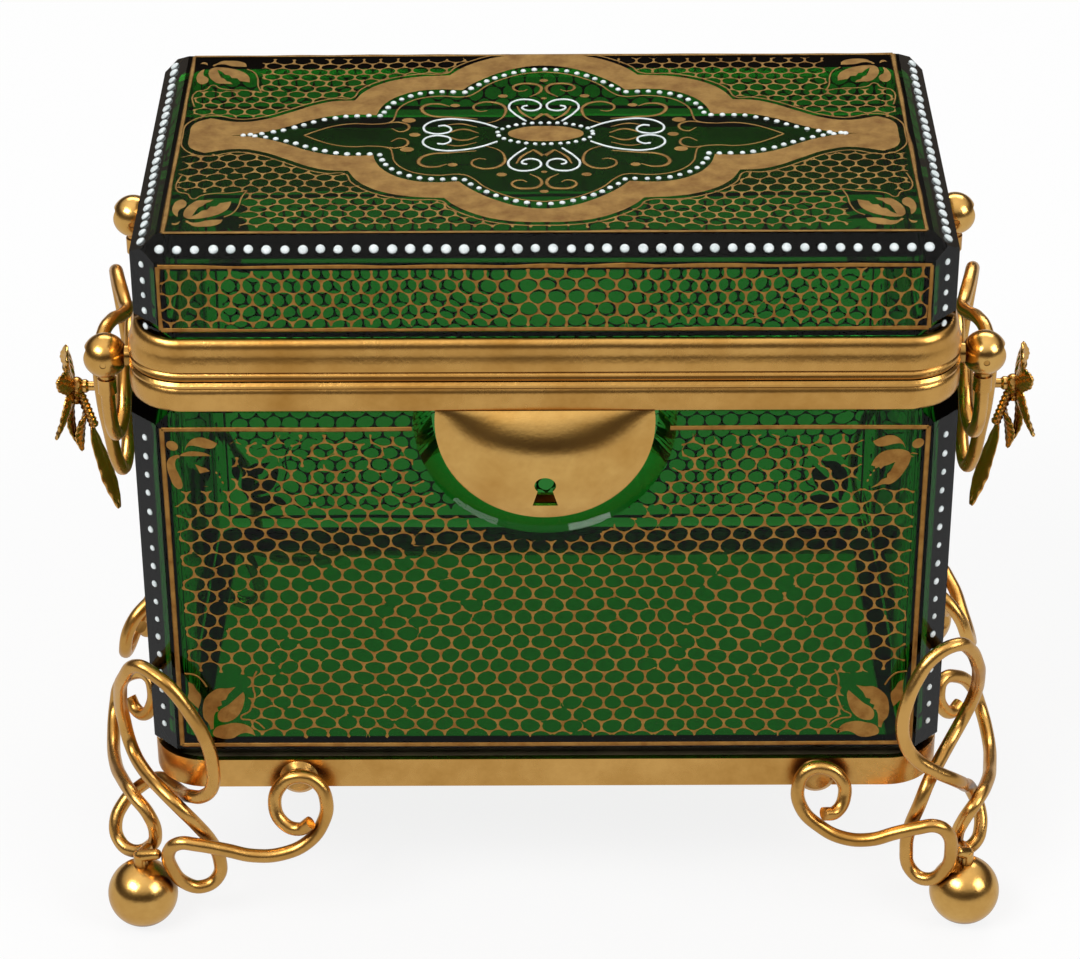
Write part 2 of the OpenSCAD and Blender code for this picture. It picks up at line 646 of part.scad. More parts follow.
// the leaves of a spray: length, width, curl, twist, lean across the handle, lean outwards, stem length
spray_leaves = [[8, 5, -14, 30, 6, 12, 1.2], [7.5, 4.2, 30, -30, 55, 0, 1.6], [8, 4.6, 20, 25, -75, 8, 1.6],
                [8.5, 5, 24, -20, 130, 6, 2], [8, 3.4, -16, 20, 172, 8, 3]];
module leaf_spray(side) {
    color(gilt_bright)
        mirror([side > 0 ? 1 : 0, 0, 0])
            translate([-spray_x, 0, clasp_z]) {
                sphere(d = 3.2, $fn = 32);
                rotate([0, 90, 0]) cylinder(d = 2.4, h = spray_boss, $fn = smooth);
                for (v = spray_leaves)
                    rotate([v[4], 0, 0])
                        rotate([0, -v[5], 0]) {
                            stem(v[6], 1.7);
                            translate([0, 0, v[6] - 0.6]) leaf(v[0], v[1], v[2], v[3]);
                        }
                rotate([178, 0, 0])
                    rotate([0, 18, 0]) {
                        stem(8, 1.8);
                        translate([0, 0, 7.4]) leaf(17, 4.6, -14, 60);
                        translate([0, 0, 5.4]) rotate([0, -34, 0]) leaf(7.5, 4.4, -12, 20);
                    }
            }
}

// hinge: five knuckles, the first, third and fifth on the box
module knuckles(which, gap) {
    for (i = which)
        translate([-leaf_len / 2 + i * knuckle_l + gap, hinge_y, seam_z])
            rotate([0, 90, 0]) cylinder(d = knuckle_d, h = knuckle_l - 2 * gap, $fn = smooth);
}
module knuckle_room(which) {
    for (i = which)
        translate([-leaf_len / 2 + i * knuckle_l - 0.1, hinge_y, seam_z])
            rotate([0, 90, 0]) cylinder(d = knuckle_d + 0.5, h = knuckle_l + 0.2, $fn = smooth);
}
module hinge_bore() {
    translate([-leaf_len / 2 - 1, hinge_y, seam_z])
        rotate([0, 90, 0]) cylinder(d = hinge_pin_d + 2 * run, h = leaf_len + 2, $fn = smooth);
}

module hinge_leaf_body() {
    own = [0, 2, 4];
    plate_h = body_collar_h - 0.6;
    color(gilt)
        difference() {
            union() {
                difference() {
                    translate([-leaf_len / 2 + 0.1, leaf_y, seam_z - plate_h])
                        cube([leaf_len - 0.2, leaf_t, plate_h]);
                    knuckle_room([1, 3]);
                }
                knuckles(own, 0.1);
                for (i = own)
                    translate([-leaf_len / 2 + i * knuckle_l + 0.1, leaf_y, seam_z - knuckle_d / 2])
                        cube([knuckle_l - 0.2, hinge_y - leaf_y, knuckle_d / 2]);
            }
            hinge_bore();
        }
}

module hinge_leaf_lid() {
    own = [1, 3];
    plate_h = lid_collar_h - 2.5;
    stop_l = 4.1;
    color(gilt)
        difference() {
            union() {
                difference() {
                    translate([-leaf_len / 2 + 0.1, leaf_y, lid_z])
                        cube([leaf_len - 0.2, leaf_t, plate_h]);
                    knuckle_room([0, 2, 4]);
                }
                knuckles(own, 0.1);
                for (i = own) {
                    translate([-leaf_len / 2 + i * knuckle_l + 0.1, leaf_y, lid_z])
                        cube([knuckle_l - 0.2, hinge_y - leaf_y, knuckle_d / 2 - seam]);
                    translate([-leaf_len / 2 + i * knuckle_l + 0.1, hinge_y, seam_z - 1.1])
                        cube([knuckle_l - 0.2, stop_l, 0.9]);
                }
            }
            hinge_bore();
        }
}

module hinge_pin() {
    color(gilt_bright)
        translate([-leaf_len / 2 - 0.4, hinge_y, seam_z])
            rotate([0, 90, 0]) cylinder(d = hinge_pin_d, h = leaf_len + 0.8, $fn = smooth);
}

module keyhole(depth, grow = 0) {
    rotate([90, 0, 0])
        linear_extrude(depth, center = true)
            union() {
                circle(key_r + grow, $fn = smooth);
                polygon([[-0.9 - grow, 0], [0.9 + grow, 0], [2 + grow, -4.6 - grow],
                         [-2 - grow, -4.6 - grow]]);
            }
}

// a round plate or drum lying against the front, cut flat along the collar's underside
module half_moon(r, y_front, y_back) {
    intersection() {
        translate([0, y_back, lock_z])
            rotate([90, 0, 0]) cylinder(r = r, h = y_back - y_front, $fn = 96);
        translate([-50, -80, 0]) cube([100, 80, shoulder_z]);
    }
}

// the drum's front is a shallow dome whose top rolls back under the collar
module domed(r, inset) {
    roll = 7.4;
    intersection() {
        half_moon(r, -80, seat_y);
        translate([0, dome_y, lock_z]) sphere(r = dome_r - inset, $fn = 128);
        union() {
            translate([-50, front_y - cover_edge - lock_dome + roll, shoulder_z - 6.2])
                rotate([0, 90, 0]) cylinder(r = roll - inset, h = 100, $fn = 96);
            translate([-50, -80, 0]) cube([100, 80, shoulder_z - 6.2]);
            translate([-50, front_y - cover_edge - lock_dome + roll, 0]) cube([100, 80, 200]);
        }
    }
}

module lock_cover() {
    color(gilt_bright)
        difference() {
            domed(lock_r, 0);
            domed(lock_r - lock_t, lock_t);
            translate([0, front_y - 5, key_z]) keyhole(12);
        }
}

module lock_backplate() {
    color(gilt)
        difference() {
            half_moon(lock_r - lock_t - 0.2, seat_y - plate_t, seat_y);
            translate([0, seat_y, key_z]) keyhole(4, 0.6);
        }
}

// the bolt slides left into the notch of the catch; a key turns in the notch of its lower bar
module lock_bolt() {
    nose = catch_w / 2 + bolt_gap;
    color(gilt_bright)
        translate([0, bolt_y, 0])
            difference() {
                union() {
                    translate([nose, 0, bolt_z]) cube([bar_x + bar_w - nose, bolt_t, bolt_h]);
                    translate([bar_x, 0, bolt_low]) cube([bar_w, bolt_t, bolt_z + bolt_h - bolt_low]);
                    translate([-6, 0, bolt_low]) cube([bar_x + bar_w + 6, bolt_t, 2.8]);
                }
                translate([-1.4, -1, bolt_low - 1]) cube([2.8, 3, 2.6]);
            }
}

module bolt_guides() {
    color(gilt)
        for (g = [[guide_x, bolt_z, bolt_h], [-5.2, bolt_low, 2.8]])
            translate([g[0], 0, g[1]])
                difference() {
                    translate([0, bolt_y - 0.6, -0.8])
                        cube([guide_w, seat_y - plate_t - bolt_y + 0.6, g[2] + 1.5]);
                    translate([-1, bolt_y - 0.15, -0.3])
                        cube([guide_w + 2, 5, g[2] + 0.6]);
                }
}

// a bent strip that presses the bolt up against its guides
module lock_spring() {
    low = bolt_low;
    t = 0.35;
    color("#b9b4a6")
        translate([0, bolt_y + 0.05, 0])
            rotate([90, 0, 0])
                translate([0, 0, -0.8])
                    linear_extrude(0.8)
                        union() {
                            translate([11.6, low - 1.6])
                                difference() {
                                    circle(1.6 - 0.2, $fn = smooth);
                                    circle(1.6 - 0.2 - t, $fn = smooth);
                                    translate([-3, -3]) square([3, 6]);
                                }
                            translate([2.2, low - 0.2 - t]) square([9.4, t]);
                            translate([7, low - 3]) square([4.6, t]);
                        }
}

// posts that tie the backplate to the cover, each stopping just short of the dome
pillar_places = [[-12.5, -3.2], [13.7, -2.4], [-7.5, -13], [7.5, -13]];
module lock_pillars() {
    color(gilt)
        for (p = pillar_places) {
            dome = dome_y - sqrt(pow(dome_r - lock_t, 2) - p * p);
            translate([p[0], seat_y - plate_t, lock_z + p[1]])
                rotate([90, 0, 0]) cylinder(d = 1.5, h = seat_y - plate_t - dome - 0.5, $fn = smooth);
        }
}

// the tongue under the lid's collar, notched on one side for the bolt
module lid_catch() {
    color(gilt_bright)
        difference() {
            translate([-catch_w / 2, bolt_y, seam_z - catch_drop])
                cube([catch_w, bolt_t, catch_drop + seam + collar_t]);
            translate([catch_w / 2 - bolt_throw, bolt_y - 1, notch_z]) cube([10, 3, notch_h]);
        }
}

body_glass();
lid_glass();
body_collar();
lid_collar();
body_cement();
lid_cement();
base_band();
base_cement();
foot_wire(-1, -1);  // foot_wire_front_left
foot_wire(1, -1);  // foot_wire_front_right
foot_wire(-1, 1);  // foot_wire_back_left
foot_wire(1, 1);  // foot_wire_back_right
foot_ball(-1, -1);  // foot_ball_front_left
foot_ball(1, -1);  // foot_ball_front_right
foot_ball(-1, 1);  // foot_ball_back_left
foot_ball(1, 1);  // foot_ball_back_right
scroll_pads();
handle_lugs(-1);  // handle_lugs_left
handle_lugs(1);  // handle_lugs_right
handle_pins();
handle_wire(-1);  // handle_wire_left
handle_wire(1);  // handle_wire_right
handle_sleeves(-1);  // handle_sleeves_left
handle_sleeves(1);  // handle_sleeves_right
handle_clasp(-1);  // handle_clasp_left
handle_clasp(1);  // handle_clasp_right
leaf_spray(-1);  // leaf_spray_left
leaf_spray(1);  // leaf_spray_right
hinge_leaf_body();
hinge_leaf_lid();
hinge_pin();
lock_cover();
lock_backplate();
lock_bolt();
lock_spring();
lock_pillars();
bolt_guides();
lid_catch();
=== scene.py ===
import bpy
import json
import math
import random
from mathutils import Matrix, Vector, noise

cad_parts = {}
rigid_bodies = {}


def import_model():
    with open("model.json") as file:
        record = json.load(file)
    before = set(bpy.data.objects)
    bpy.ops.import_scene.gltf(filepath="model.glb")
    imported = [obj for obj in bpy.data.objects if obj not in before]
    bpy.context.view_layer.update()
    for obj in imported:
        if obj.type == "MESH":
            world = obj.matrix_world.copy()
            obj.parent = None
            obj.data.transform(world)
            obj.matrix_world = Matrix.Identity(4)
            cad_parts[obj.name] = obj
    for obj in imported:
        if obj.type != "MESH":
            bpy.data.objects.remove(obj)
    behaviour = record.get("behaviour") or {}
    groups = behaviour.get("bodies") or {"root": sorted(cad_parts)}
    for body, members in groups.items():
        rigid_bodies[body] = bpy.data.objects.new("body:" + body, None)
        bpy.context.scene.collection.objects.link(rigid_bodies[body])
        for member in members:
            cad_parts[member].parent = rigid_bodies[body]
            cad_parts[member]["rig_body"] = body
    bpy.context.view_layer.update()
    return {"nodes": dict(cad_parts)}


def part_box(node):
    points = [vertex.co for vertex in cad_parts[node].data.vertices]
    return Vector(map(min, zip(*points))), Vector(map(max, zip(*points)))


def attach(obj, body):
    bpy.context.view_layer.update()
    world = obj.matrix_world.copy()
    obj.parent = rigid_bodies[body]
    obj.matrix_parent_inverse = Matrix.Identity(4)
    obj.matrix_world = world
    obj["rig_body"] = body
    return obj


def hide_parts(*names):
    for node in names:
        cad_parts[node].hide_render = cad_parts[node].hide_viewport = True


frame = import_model()


# The table the casket stands on and the room round it: a wide pale sheet under soft lamps.
# The sheet and the room are white to the eye, and the sheet keeps a light shadow.
bpy.ops.object.select_all(action="DESELECT")
bpy.ops.mesh.primitive_plane_add(size=6, location=(0, 0, 0))
table = bpy.context.object
table.name = "table"
sheet = bpy.data.materials.new("white_sheet")
sheet.use_nodes = True
nodes = sheet.node_tree.nodes
links = sheet.node_tree.links
nodes.clear()
rays = nodes.new("ShaderNodeLightPath")
paper = nodes.new("ShaderNodeBsdfDiffuse")
paper.inputs["Color"].default_value = (0.82, 0.82, 0.82, 1)
bright = nodes.new("ShaderNodeEmission")
strength = nodes.new("ShaderNodeMath")
strength.operation = "MULTIPLY_ADD"
strength.inputs[1].default_value = -0.42
strength.inputs[2].default_value = 1.0
links.new(rays.outputs["Is Glossy Ray"], strength.inputs[0])
links.new(strength.outputs[0], bright.inputs["Strength"])
seen = nodes.new("ShaderNodeMath")
seen.operation = "MAXIMUM"
links.new(rays.outputs["Is Camera Ray"], seen.inputs[0])
links.new(rays.outputs["Is Transmission Ray"], seen.inputs[1])
share = nodes.new("ShaderNodeMath")
share.operation = "MULTIPLY_ADD"
share.inputs[1].default_value = 0.85
links.new(seen.outputs[0], share.inputs[0])
links.new(rays.outputs["Is Glossy Ray"], share.inputs[2])
blend = nodes.new("ShaderNodeMixShader")
links.new(share.outputs[0], blend.inputs[0])
links.new(paper.outputs[0], blend.inputs[1])
links.new(bright.outputs[0], blend.inputs[2])
ground = nodes.new("ShaderNodeOutputMaterial")
links.new(blend.outputs[0], ground.inputs["Surface"])
table.data.materials.append(sheet)

room = bpy.data.worlds.new("white_room")
bpy.context.scene.world = room
room.use_nodes = True
nodes = room.node_tree.nodes
links = room.node_tree.links
nodes.clear()
rays = nodes.new("ShaderNodeLightPath")
place = nodes.new("ShaderNodeTexCoord")
height = nodes.new("ShaderNodeSeparateXYZ")
links.new(place.outputs["Generated"], height.inputs[0])
tone = nodes.new("ShaderNodeValToRGB")
tone.color_ramp.elements[0].position = 0.0
tone.color_ramp.elements[0].color = (0.22, 0.19, 0.16, 1)
tone.color_ramp.elements[1].position = 1.0
tone.color_ramp.elements[1].color = (1.0, 0.98, 0.94, 1)
dim = tone.color_ramp.elements.new(0.12)
dim.color = (0.04, 0.03, 0.024, 1)
dim = tone.color_ramp.elements.new(0.42)
dim.color = (0.05, 0.038, 0.03, 1)
dim = tone.color_ramp.elements.new(0.6)
dim.color = (0.5, 0.48, 0.45, 1)
links.new(height.outputs["Z"], tone.inputs[0])
soft = nodes.new("ShaderNodeBackground")
soft.inputs["Strength"].default_value = 0.5
gloss = nodes.new("ShaderNodeBackground")
links.new(tone.outputs[0], gloss.inputs["Color"])
white = nodes.new("ShaderNodeBackground")
white.inputs["Color"].default_value = (1, 1, 1, 1)
white.inputs["Strength"].default_value = 1.0
first = nodes.new("ShaderNodeMixShader")
links.new(rays.outputs["Is Glossy Ray"], first.inputs[0])
links.new(soft.outputs[0], first.inputs[1])
links.new(gloss.outputs[0], first.inputs[2])
seen = nodes.new("ShaderNodeMath")
seen.operation = "MAXIMUM"
links.new(rays.outputs["Is Camera Ray"], seen.inputs[0])
links.new(rays.outputs["Is Transmission Ray"], seen.inputs[1])
second = nodes.new("ShaderNodeMixShader")
links.new(seen.outputs[0], second.inputs[0])
links.new(first.outputs[0], second.inputs[1])
links.new(white.outputs[0], second.inputs[2])
sky = nodes.new("ShaderNodeOutputWorld")
links.new(second.outputs[0], sky.inputs["Surface"])


def softbox(name, place, size, power, target=(0, 0, 0.06)):
    """An area lamp that looks at the casket."""
    bpy.ops.object.light_add(type="AREA", location=place)
    lamp = bpy.context.object
    lamp.name = name
    lamp.data.shape = "RECTANGLE"
    lamp.data.size = size[0]
    lamp.data.size_y = size[1]
    lamp.data.energy = power
    aim = Vector(target) - Vector(place)
    lamp.rotation_euler = aim.to_track_quat("-Z", "Y").to_euler()
    return lamp


softbox("key_lamp", (-0.75, -0.7, 1.15), (0.8, 0.5), 13)
softbox("fill_lamp", (0.95, -0.55, 0.8), (0.6, 0.6), 6)
softbox("back_lamp", (0.1, 0.9, 1.0), (1.2, 0.4), 6)

# The camera: a long lens, from in front and above.
camera_place = Vector((-0.00032, -0.52809, 0.38513))
tilt_down = math.radians(31.5)
turn = math.radians(0.058)
roll = math.radians(-0.224)
bpy.ops.object.camera_add(location=camera_place)
camera = bpy.context.object
camera.matrix_world = (
    Matrix.Translation(camera_place)
    @ Matrix.Rotation(turn, 4, "Z")
    @ Matrix.Rotation(math.pi / 2 - tilt_down, 4, "X")
    @ Matrix.Rotation(roll, 4, "Z")
)
camera.data.sensor_width = 36
camera.data.lens = 121.6
camera.data.clip_start = 0.01
bpy.context.scene.camera = camera
bpy.context.scene.view_settings.view_transform = "Standard"


# The glass box and lid: blown and cut green glass, about 5 mm thick, with ground bevels and cut corners.
# The colour is in the glass, so thick edges go nearly black and the walls stay bright.
def clear_glass(name):
    material = bpy.data.materials.new(name)
    material.use_nodes = True
    nodes = material.node_tree.nodes
    links = material.node_tree.links
    surface = nodes["Principled BSDF"]
    surface.inputs["Base Color"].default_value = (1, 1, 1, 1)
    surface.inputs["Roughness"].default_value = 0.0
    surface.inputs["IOR"].default_value = 1.52
    surface.inputs["Transmission Weight"].default_value = 1.0
    surface.inputs["Specular Tint"].default_value = (0.3, 0.3, 0.3, 1)
    colour = nodes.new("ShaderNodeVolumeAbsorption")
    colour.inputs["Color"].default_value = (0.03, 0.6, 0.08, 1)
    colour.inputs["Density"].default_value = 420
    links.new(colour.outputs[0], nodes["Material Output"].inputs["Volume"])
    place = nodes.new("ShaderNodeTexCoord")
    ripple = nodes.new("ShaderNodeTexNoise")
    ripple.inputs["Scale"].default_value = 70
    ripple.inputs["Detail"].default_value = 1
    links.new(place.outputs["Object"], ripple.inputs["Vector"])
    bump = nodes.new("ShaderNodeBump")
    bump.inputs["Strength"].default_value = 0.02
    bump.inputs["Distance"].default_value = 0.002
    links.new(ripple.outputs[0], bump.inputs["Height"])
    links.new(bump.outputs[0], surface.inputs["Normal"])
    return material


green_glass = clear_glass("green_glass")


def finish_node(name, material, crease=35):
    """Gives a piece of the frame its material, smooth where it is round and sharp where it is cut."""
    node = frame["nodes"][name]
    node.data.materials.clear()
    node.data.materials.append(material)
    for polygon in node.data.polygons:
        polygon.use_smooth = True
    joined = node.modifiers.new("joined", "WELD")
    joined.merge_threshold = 0.000002
    edges = node.modifiers.new("sharp_edges", "EDGE_SPLIT")
    edges.split_angle = math.radians(crease)


finish_node("body_glass", green_glass, 20)
finish_node("lid_glass", green_glass, 20)


# The gilt metal: brass, fire gilt and left satin, paler and brighter where it is rubbed, with painted shade in the
# hollows, where the colour is turned dark brown wherever ambient occlusion finds them.
def gilded_metal(name, colour, dark, roughness, patch=60, scratch=0.1, hollows=0):
    material = bpy.data.materials.new(name)
    material.use_nodes = True
    nodes = material.node_tree.nodes
    links = material.node_tree.links
    surface = nodes["Principled BSDF"]
    surface.inputs["Metallic"].default_value = 1.0
    place = nodes.new("ShaderNodeTexCoord")
    cloud = nodes.new("ShaderNodeTexNoise")
    cloud.inputs["Scale"].default_value = patch
    cloud.inputs["Detail"].default_value = 6
    cloud.inputs["Roughness"].default_value = 0.65
    links.new(place.outputs["Object"], cloud.inputs["Vector"])
    tone = nodes.new("ShaderNodeValToRGB")
    tone.color_ramp.elements[0].position = 0.32
    tone.color_ramp.elements[0].color = (*dark, 1)
    tone.color_ramp.elements[1].position = 0.62
    tone.color_ramp.elements[1].color = (*colour, 1)
    links.new(cloud.outputs[0], tone.inputs[0])
    links.new(tone.outputs[0], surface.inputs["Base Color"])
    # Painted shade: the colour is mixed towards dark brown where ambient occlusion finds a hollow within this
    # distance.
    if hollows:
        nook = nodes.new("ShaderNodeAmbientOcclusion")
        nook.samples = 8
        nook.inputs["Distance"].default_value = hollows
        wear_and_shade = nodes.new("ShaderNodeMapRange")
        wear_and_shade.inputs["From Min"].default_value = 0.3
        wear_and_shade.inputs["From Max"].default_value = 0.85
        links.new(nook.outputs["AO"], wear_and_shade.inputs["Value"])
        painted_shade = nodes.new("ShaderNodeMix")
        painted_shade.data_type = "RGBA"
        painted_shade.inputs["A"].default_value = (0.13, 0.045, 0.01, 1)
        links.new(wear_and_shade.outputs[0], painted_shade.inputs["Factor"])
        links.new(tone.outputs[0], painted_shade.inputs["B"])
        links.new(painted_shade.outputs["Result"], surface.inputs["Base Color"])
    sheen = nodes.new("ShaderNodeMapRange")
    sheen.inputs["To Min"].default_value = roughness + 0.1
    sheen.inputs["To Max"].default_value = roughness - 0.05
    links.new(cloud.outputs[0], sheen.inputs["Value"])
    links.new(sheen.outputs[0], surface.inputs["Roughness"])
    grain = nodes.new("ShaderNodeTexNoise")
    grain.inputs["Scale"].default_value = 1400
    grain.inputs["Detail"].default_value = 3
    links.new(place.outputs["Object"], grain.inputs["Vector"])
    bump = nodes.new("ShaderNodeBump")
    bump.inputs["Strength"].default_value = scratch
    bump.inputs["Distance"].default_value = 0.0003
    links.new(grain.outputs[0], bump.inputs["Height"])
    hand = nodes.new("ShaderNodeTexNoise")
    hand.inputs["Scale"].default_value = 90
    hand.inputs["Detail"].default_value = 1
    links.new(place.outputs["Object"], hand.inputs["Vector"])
    wave = nodes.new("ShaderNodeBump")
    wave.inputs["Strength"].default_value = 0.25
    wave.inputs["Distance"].default_value = 0.001
    links.new(hand.outputs[0], wave.inputs["Height"])
    links.new(bump.outputs[0], wave.inputs["Normal"])
    links.new(wave.outputs[0], surface.inputs["Normal"])
    return material


# Both gilts carry painted shade, dark brown, in hollows within 3 mm.
satin_gilt = gilded_metal("satin_gilt", (0.86, 0.49, 0.14), (0.6, 0.3, 0.065), 0.25, hollows=0.003)
bright_gilt = gilded_metal("bright_gilt", (0.9, 0.54, 0.16), (0.72, 0.38, 0.09), 0.2, patch=90, scratch=0.06,
                           hollows=0.003)

for name in ("body_collar", "lid_collar", "base_band", "scroll_pads", "handle_pins", "hinge_leaf_body",
             "hinge_leaf_lid", "lock_backplate", "lock_pillars", "bolt_guides",
             "handle_sleeves_left", "handle_sleeves_right", "handle_clasp_left", "handle_clasp_right",
             "handle_wire_left", "handle_wire_right",
             "foot_wire_front_left", "foot_wire_front_right", "foot_wire_back_left", "foot_wire_back_right"):
    finish_node(name, satin_gilt)
for name in ("lock_cover", "lock_bolt", "lid_catch", "hinge_pin", "handle_lugs_left", "handle_lugs_right",
             "leaf_spray_left", "leaf_spray_right", "foot_ball_front_left", "foot_ball_front_right",
             "foot_ball_back_left", "foot_ball_back_right"):
    finish_node(name, bright_gilt)


# The feet: each is one long gilt wire, bent by hand into a big loop, two small loops over the ball and two
# scrolls along the band. Points are in millimetres, from the top of the big loop to the end of a scroll:
# in from the box corner along a face, out from that face, and above the table.
left_front = [(-1.2, 1.2, 49.9), (-4, -1.4, 45.9), (-5.4, -5.4, 39.5), (-5.5, -8.4, 32.3),
              (-4.4, -7.4, 27.4), (-2, -2.9, 26), (1.5, 2.1, 25.4), (4.5, 4.1, 23.2), (7, 3.9, 19.7),
              (9, 3.3, 16), (10.3, 3, 11.9), (9.9, 3.2, 8.5), (7.4, 4, 7), (4.5, 4.6, 8.2),
              (2.5, 5.2, 11.8), (2.2, 5.8, 15.5), (4, 6.4, 17.8), (7, 6.6, 17.7), (11.9, 6.4, 16.4),
              (16.3, 6.2, 15.1), (21.2, 5.8, 15.2), (25.4, 5, 17), (27.9, 4, 20.2), (28.6, 3.2, 23.8),
              (27.1, 2.4, 27.2), (24, 2.2, 28.4), (21.1, 2.4, 26.7), (20, 3.2, 23.4), (21.3, 4.4, 20.6),
              (24, 5.2, 19.8), (26, 5.6, 21.4)]
left_side = [(-1.2, 1.2, 49.9), (-2.8, -1.8, 49), (-4, -4, 47.6), (-5.2, -7.2, 43.2), (-5.6, -9.5, 38.1),
             (-5.6, -10.4, 32.6), (-5.6, -10, 28.5), (-4.9, -8.4, 26.4), (-3, -6.2, 25),
             (0.4, -4.4, 23.2), (3.4, -2.6, 22.4), (6.8, -0.1, 21.6), (8.9, 4, 18.1), (7.6, 6.6, 15.7),
             (5.8, 7.9, 13), (4.3, 7.3, 10.4), (2.3, 4.8, 9.7), (1.3, 1.7, 11.5), (0.5, 0.6, 14.7),
             (1, 1.6, 18.3), (3.2, 4, 20.3), (8.5, 6.4, 19.8), (16, 8.6, 18.2), (24, 9.7, 18.2),
             (28.8, 9.6, 21.4), (28.7, 8.6, 25.6), (27.1, 6, 29), (24.7, 3, 30), (23.3, 2.2, 28.2),
             (22.8, 2.6, 25.2), (23.6, 4.1, 22.9), (25.4, 5.8, 22.8), (26.5, 6.8, 24.4)]
right_front = [(-1.8, 1.2, 53.6), (-4, -0.6, 51.4), (-5.6, -2.6, 47.4), (-6.4, -5.4, 43), (-6.3, -8.4, 36.8),
               (-4.9, -8.4, 32.7), (-2.7, -5.9, 29.8), (-0.5, -1.9, 28.5), (1.7, 2.1, 26.8),
               (3.2, 3.8, 23.4), (4.5, 3.7, 18.7), (4.9, 3.6, 14.3), (4, 4, 10.1), (1.5, 5.4, 9.1),
               (-1.5, 6.2, 11.9), (-2.2, 6.5, 15.9), (-1.3, 6.7, 19.8), (0.7, 6.9, 21.3), (3.6, 6.9, 20.9),
               (7, 6.7, 19.8), (11.4, 6.2, 18), (15.9, 5.6, 18), (19.7, 4.8, 19.8), (22.7, 3.8, 22.8),
               (23.3, 2.8, 26.5), (21.7, 2.2, 29.3), (18.7, 2.2, 29.7), (16.2, 2.6, 27.7),
               (15.6, 3.2, 24.9), (17, 4.6, 22.6), (19.2, 5.8, 23)]
right_side = [(-1.8, 1.2, 53.6), (-3, -2.4, 52.2), (-4.2, -4.9, 48.8), (-5.2, -6.4, 45), (-5.6, -7, 40.8),
              (-5.6, -6.4, 37.2), (-5.4, -4.6, 34), (-5.2, -1.5, 31.4), (-3.8, 2.4, 28.4), (3.3, 5, 22.2),
              (7.7, 7, 17.7), (6.4, 8.3, 14.8), (4.4, 8.4, 12.2), (3.2, 7.6, 10.4), (2.4, 6, 9.6),
              (1.4, 4.5, 11), (0.4, 4, 14), (-0.2, 4.8, 17.4), (0.8, 6.8, 20.4), (6.5, 9.2, 20.2),
              (14.4, 10.7, 18.4), (22.4, 11.2, 18.4), (27.2, 10, 22), (26.9, 8.4, 26), (25.1, 5.4, 29.2),
              (23.2, 2.9, 29.8), (22.1, 2.2, 28), (21.9, 2.8, 25.2), (23.1, 4.7, 23.1), (24.8, 6.2, 23.6)]
corner_x = 65
corner_y = 37.4
wire_width = 0.0023


def bent_wire(name, points, width, radii=(), sides=6):
    """A round wire bent through points in metres, with its cut ends closed."""
    bpy.ops.object.select_all(action="DESELECT")
    bpy.ops.curve.primitive_bezier_curve_add()
    wire = bpy.context.object
    wire.name = name
    wire.data.splines.clear()
    wire.data.dimensions = "3D"
    wire.data.bevel_depth = width / 2
    wire.data.bevel_resolution = sides
    wire.data.resolution_u = 6
    wire.data.use_fill_caps = True
    spline = wire.data.splines.new("BEZIER")
    spline.bezier_points.add(len(points) - 1)
    for step, (point, spot) in enumerate(zip(spline.bezier_points, points)):
        point.co = spot
        point.radius = radii[step] if radii else 1
        point.handle_left_type = "AUTO"
        point.handle_right_type = "AUTO"
    bpy.ops.object.convert(target="MESH")
    wire = bpy.context.object
    bpy.ops.object.mode_set(mode="EDIT")
    bpy.ops.mesh.select_all(action="SELECT")
    bpy.ops.mesh.remove_doubles(threshold=0.000001)
    bpy.ops.mesh.normals_make_consistent(inside=False)
    bpy.ops.object.mode_set(mode="OBJECT")
    bpy.ops.object.shade_smooth_by_angle(angle=math.radians(50))
    return wire


def stands_for(piece, node, material):
    """The piece takes the place of a piece of the frame, on the same body."""
    piece.data.materials.clear()
    piece.data.materials.append(material)
    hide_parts(node)
    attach(piece, frame["nodes"][node]["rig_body"])


for end, side_y in (("front", -1), ("back", 1)):
    for side, side_x, along_front, along_side in (("left", -1, left_front, left_side),
                                                  ("right", 1, right_front, right_side)):
        path = [(side_x * (corner_x - inward), side_y * (corner_y + out), up)
                for inward, out, up in reversed(along_front)]
        path += [(side_x * (corner_x + out), side_y * (corner_y - inward), up)
                 for inward, out, up in along_side[1:]]
        foot = bent_wire("foot_" + end + "_" + side, [Vector(spot) / 1000 for spot in path], wire_width)
        stands_for(foot, "foot_wire_" + end + "_" + side, satin_gilt)


# The handles: the same wire, bent into a pear-shaped bail with a small loop under each lug and a waist
# across the middle. Points are out past the lug, in from the lug, and down, for one half.
handle_half = [(0, 0, 6.8), (0, 0.2, 10), (-0.2, 1.2, 14), (-0.6, 3.8, 16.6), (-1.2, 7.2, 15.4),
               (-1.2, 11, 11.8), (-0.9, 15, 10), (-0.6, 18.2, 12), (-0.5, 19.4, 17), (-0.5, 18.8, 22.4),
               (-0.4, 16.4, 27), (0, 13.2, 28.8), (0.6, 10.4, 26), (1.3, 8.8, 19.6), (2, 8.2, 12.6),
               (2.3, 9.6, 7), (1.9, 13, 3.6), (0.9, 17.6, 3.4), (-0.2, 21.4, 4.6), (-0.8, 24, 5)]
lug = Vector((69.8, 24, 99.65))
for side, side_x in (("left", -1), ("right", 1)):
    half = [(side_x * (lug.x + out), -lug.y + inward, lug.z - down) for out, inward, down in handle_half]
    path = half + [(x, -y, z) for x, y, z in reversed(half[:-1])]
    handle = bent_wire("handle_" + side, [Vector(spot) / 1000 for spot in path], wire_width)
    stands_for(handle, "handle_wire_" + side, satin_gilt)


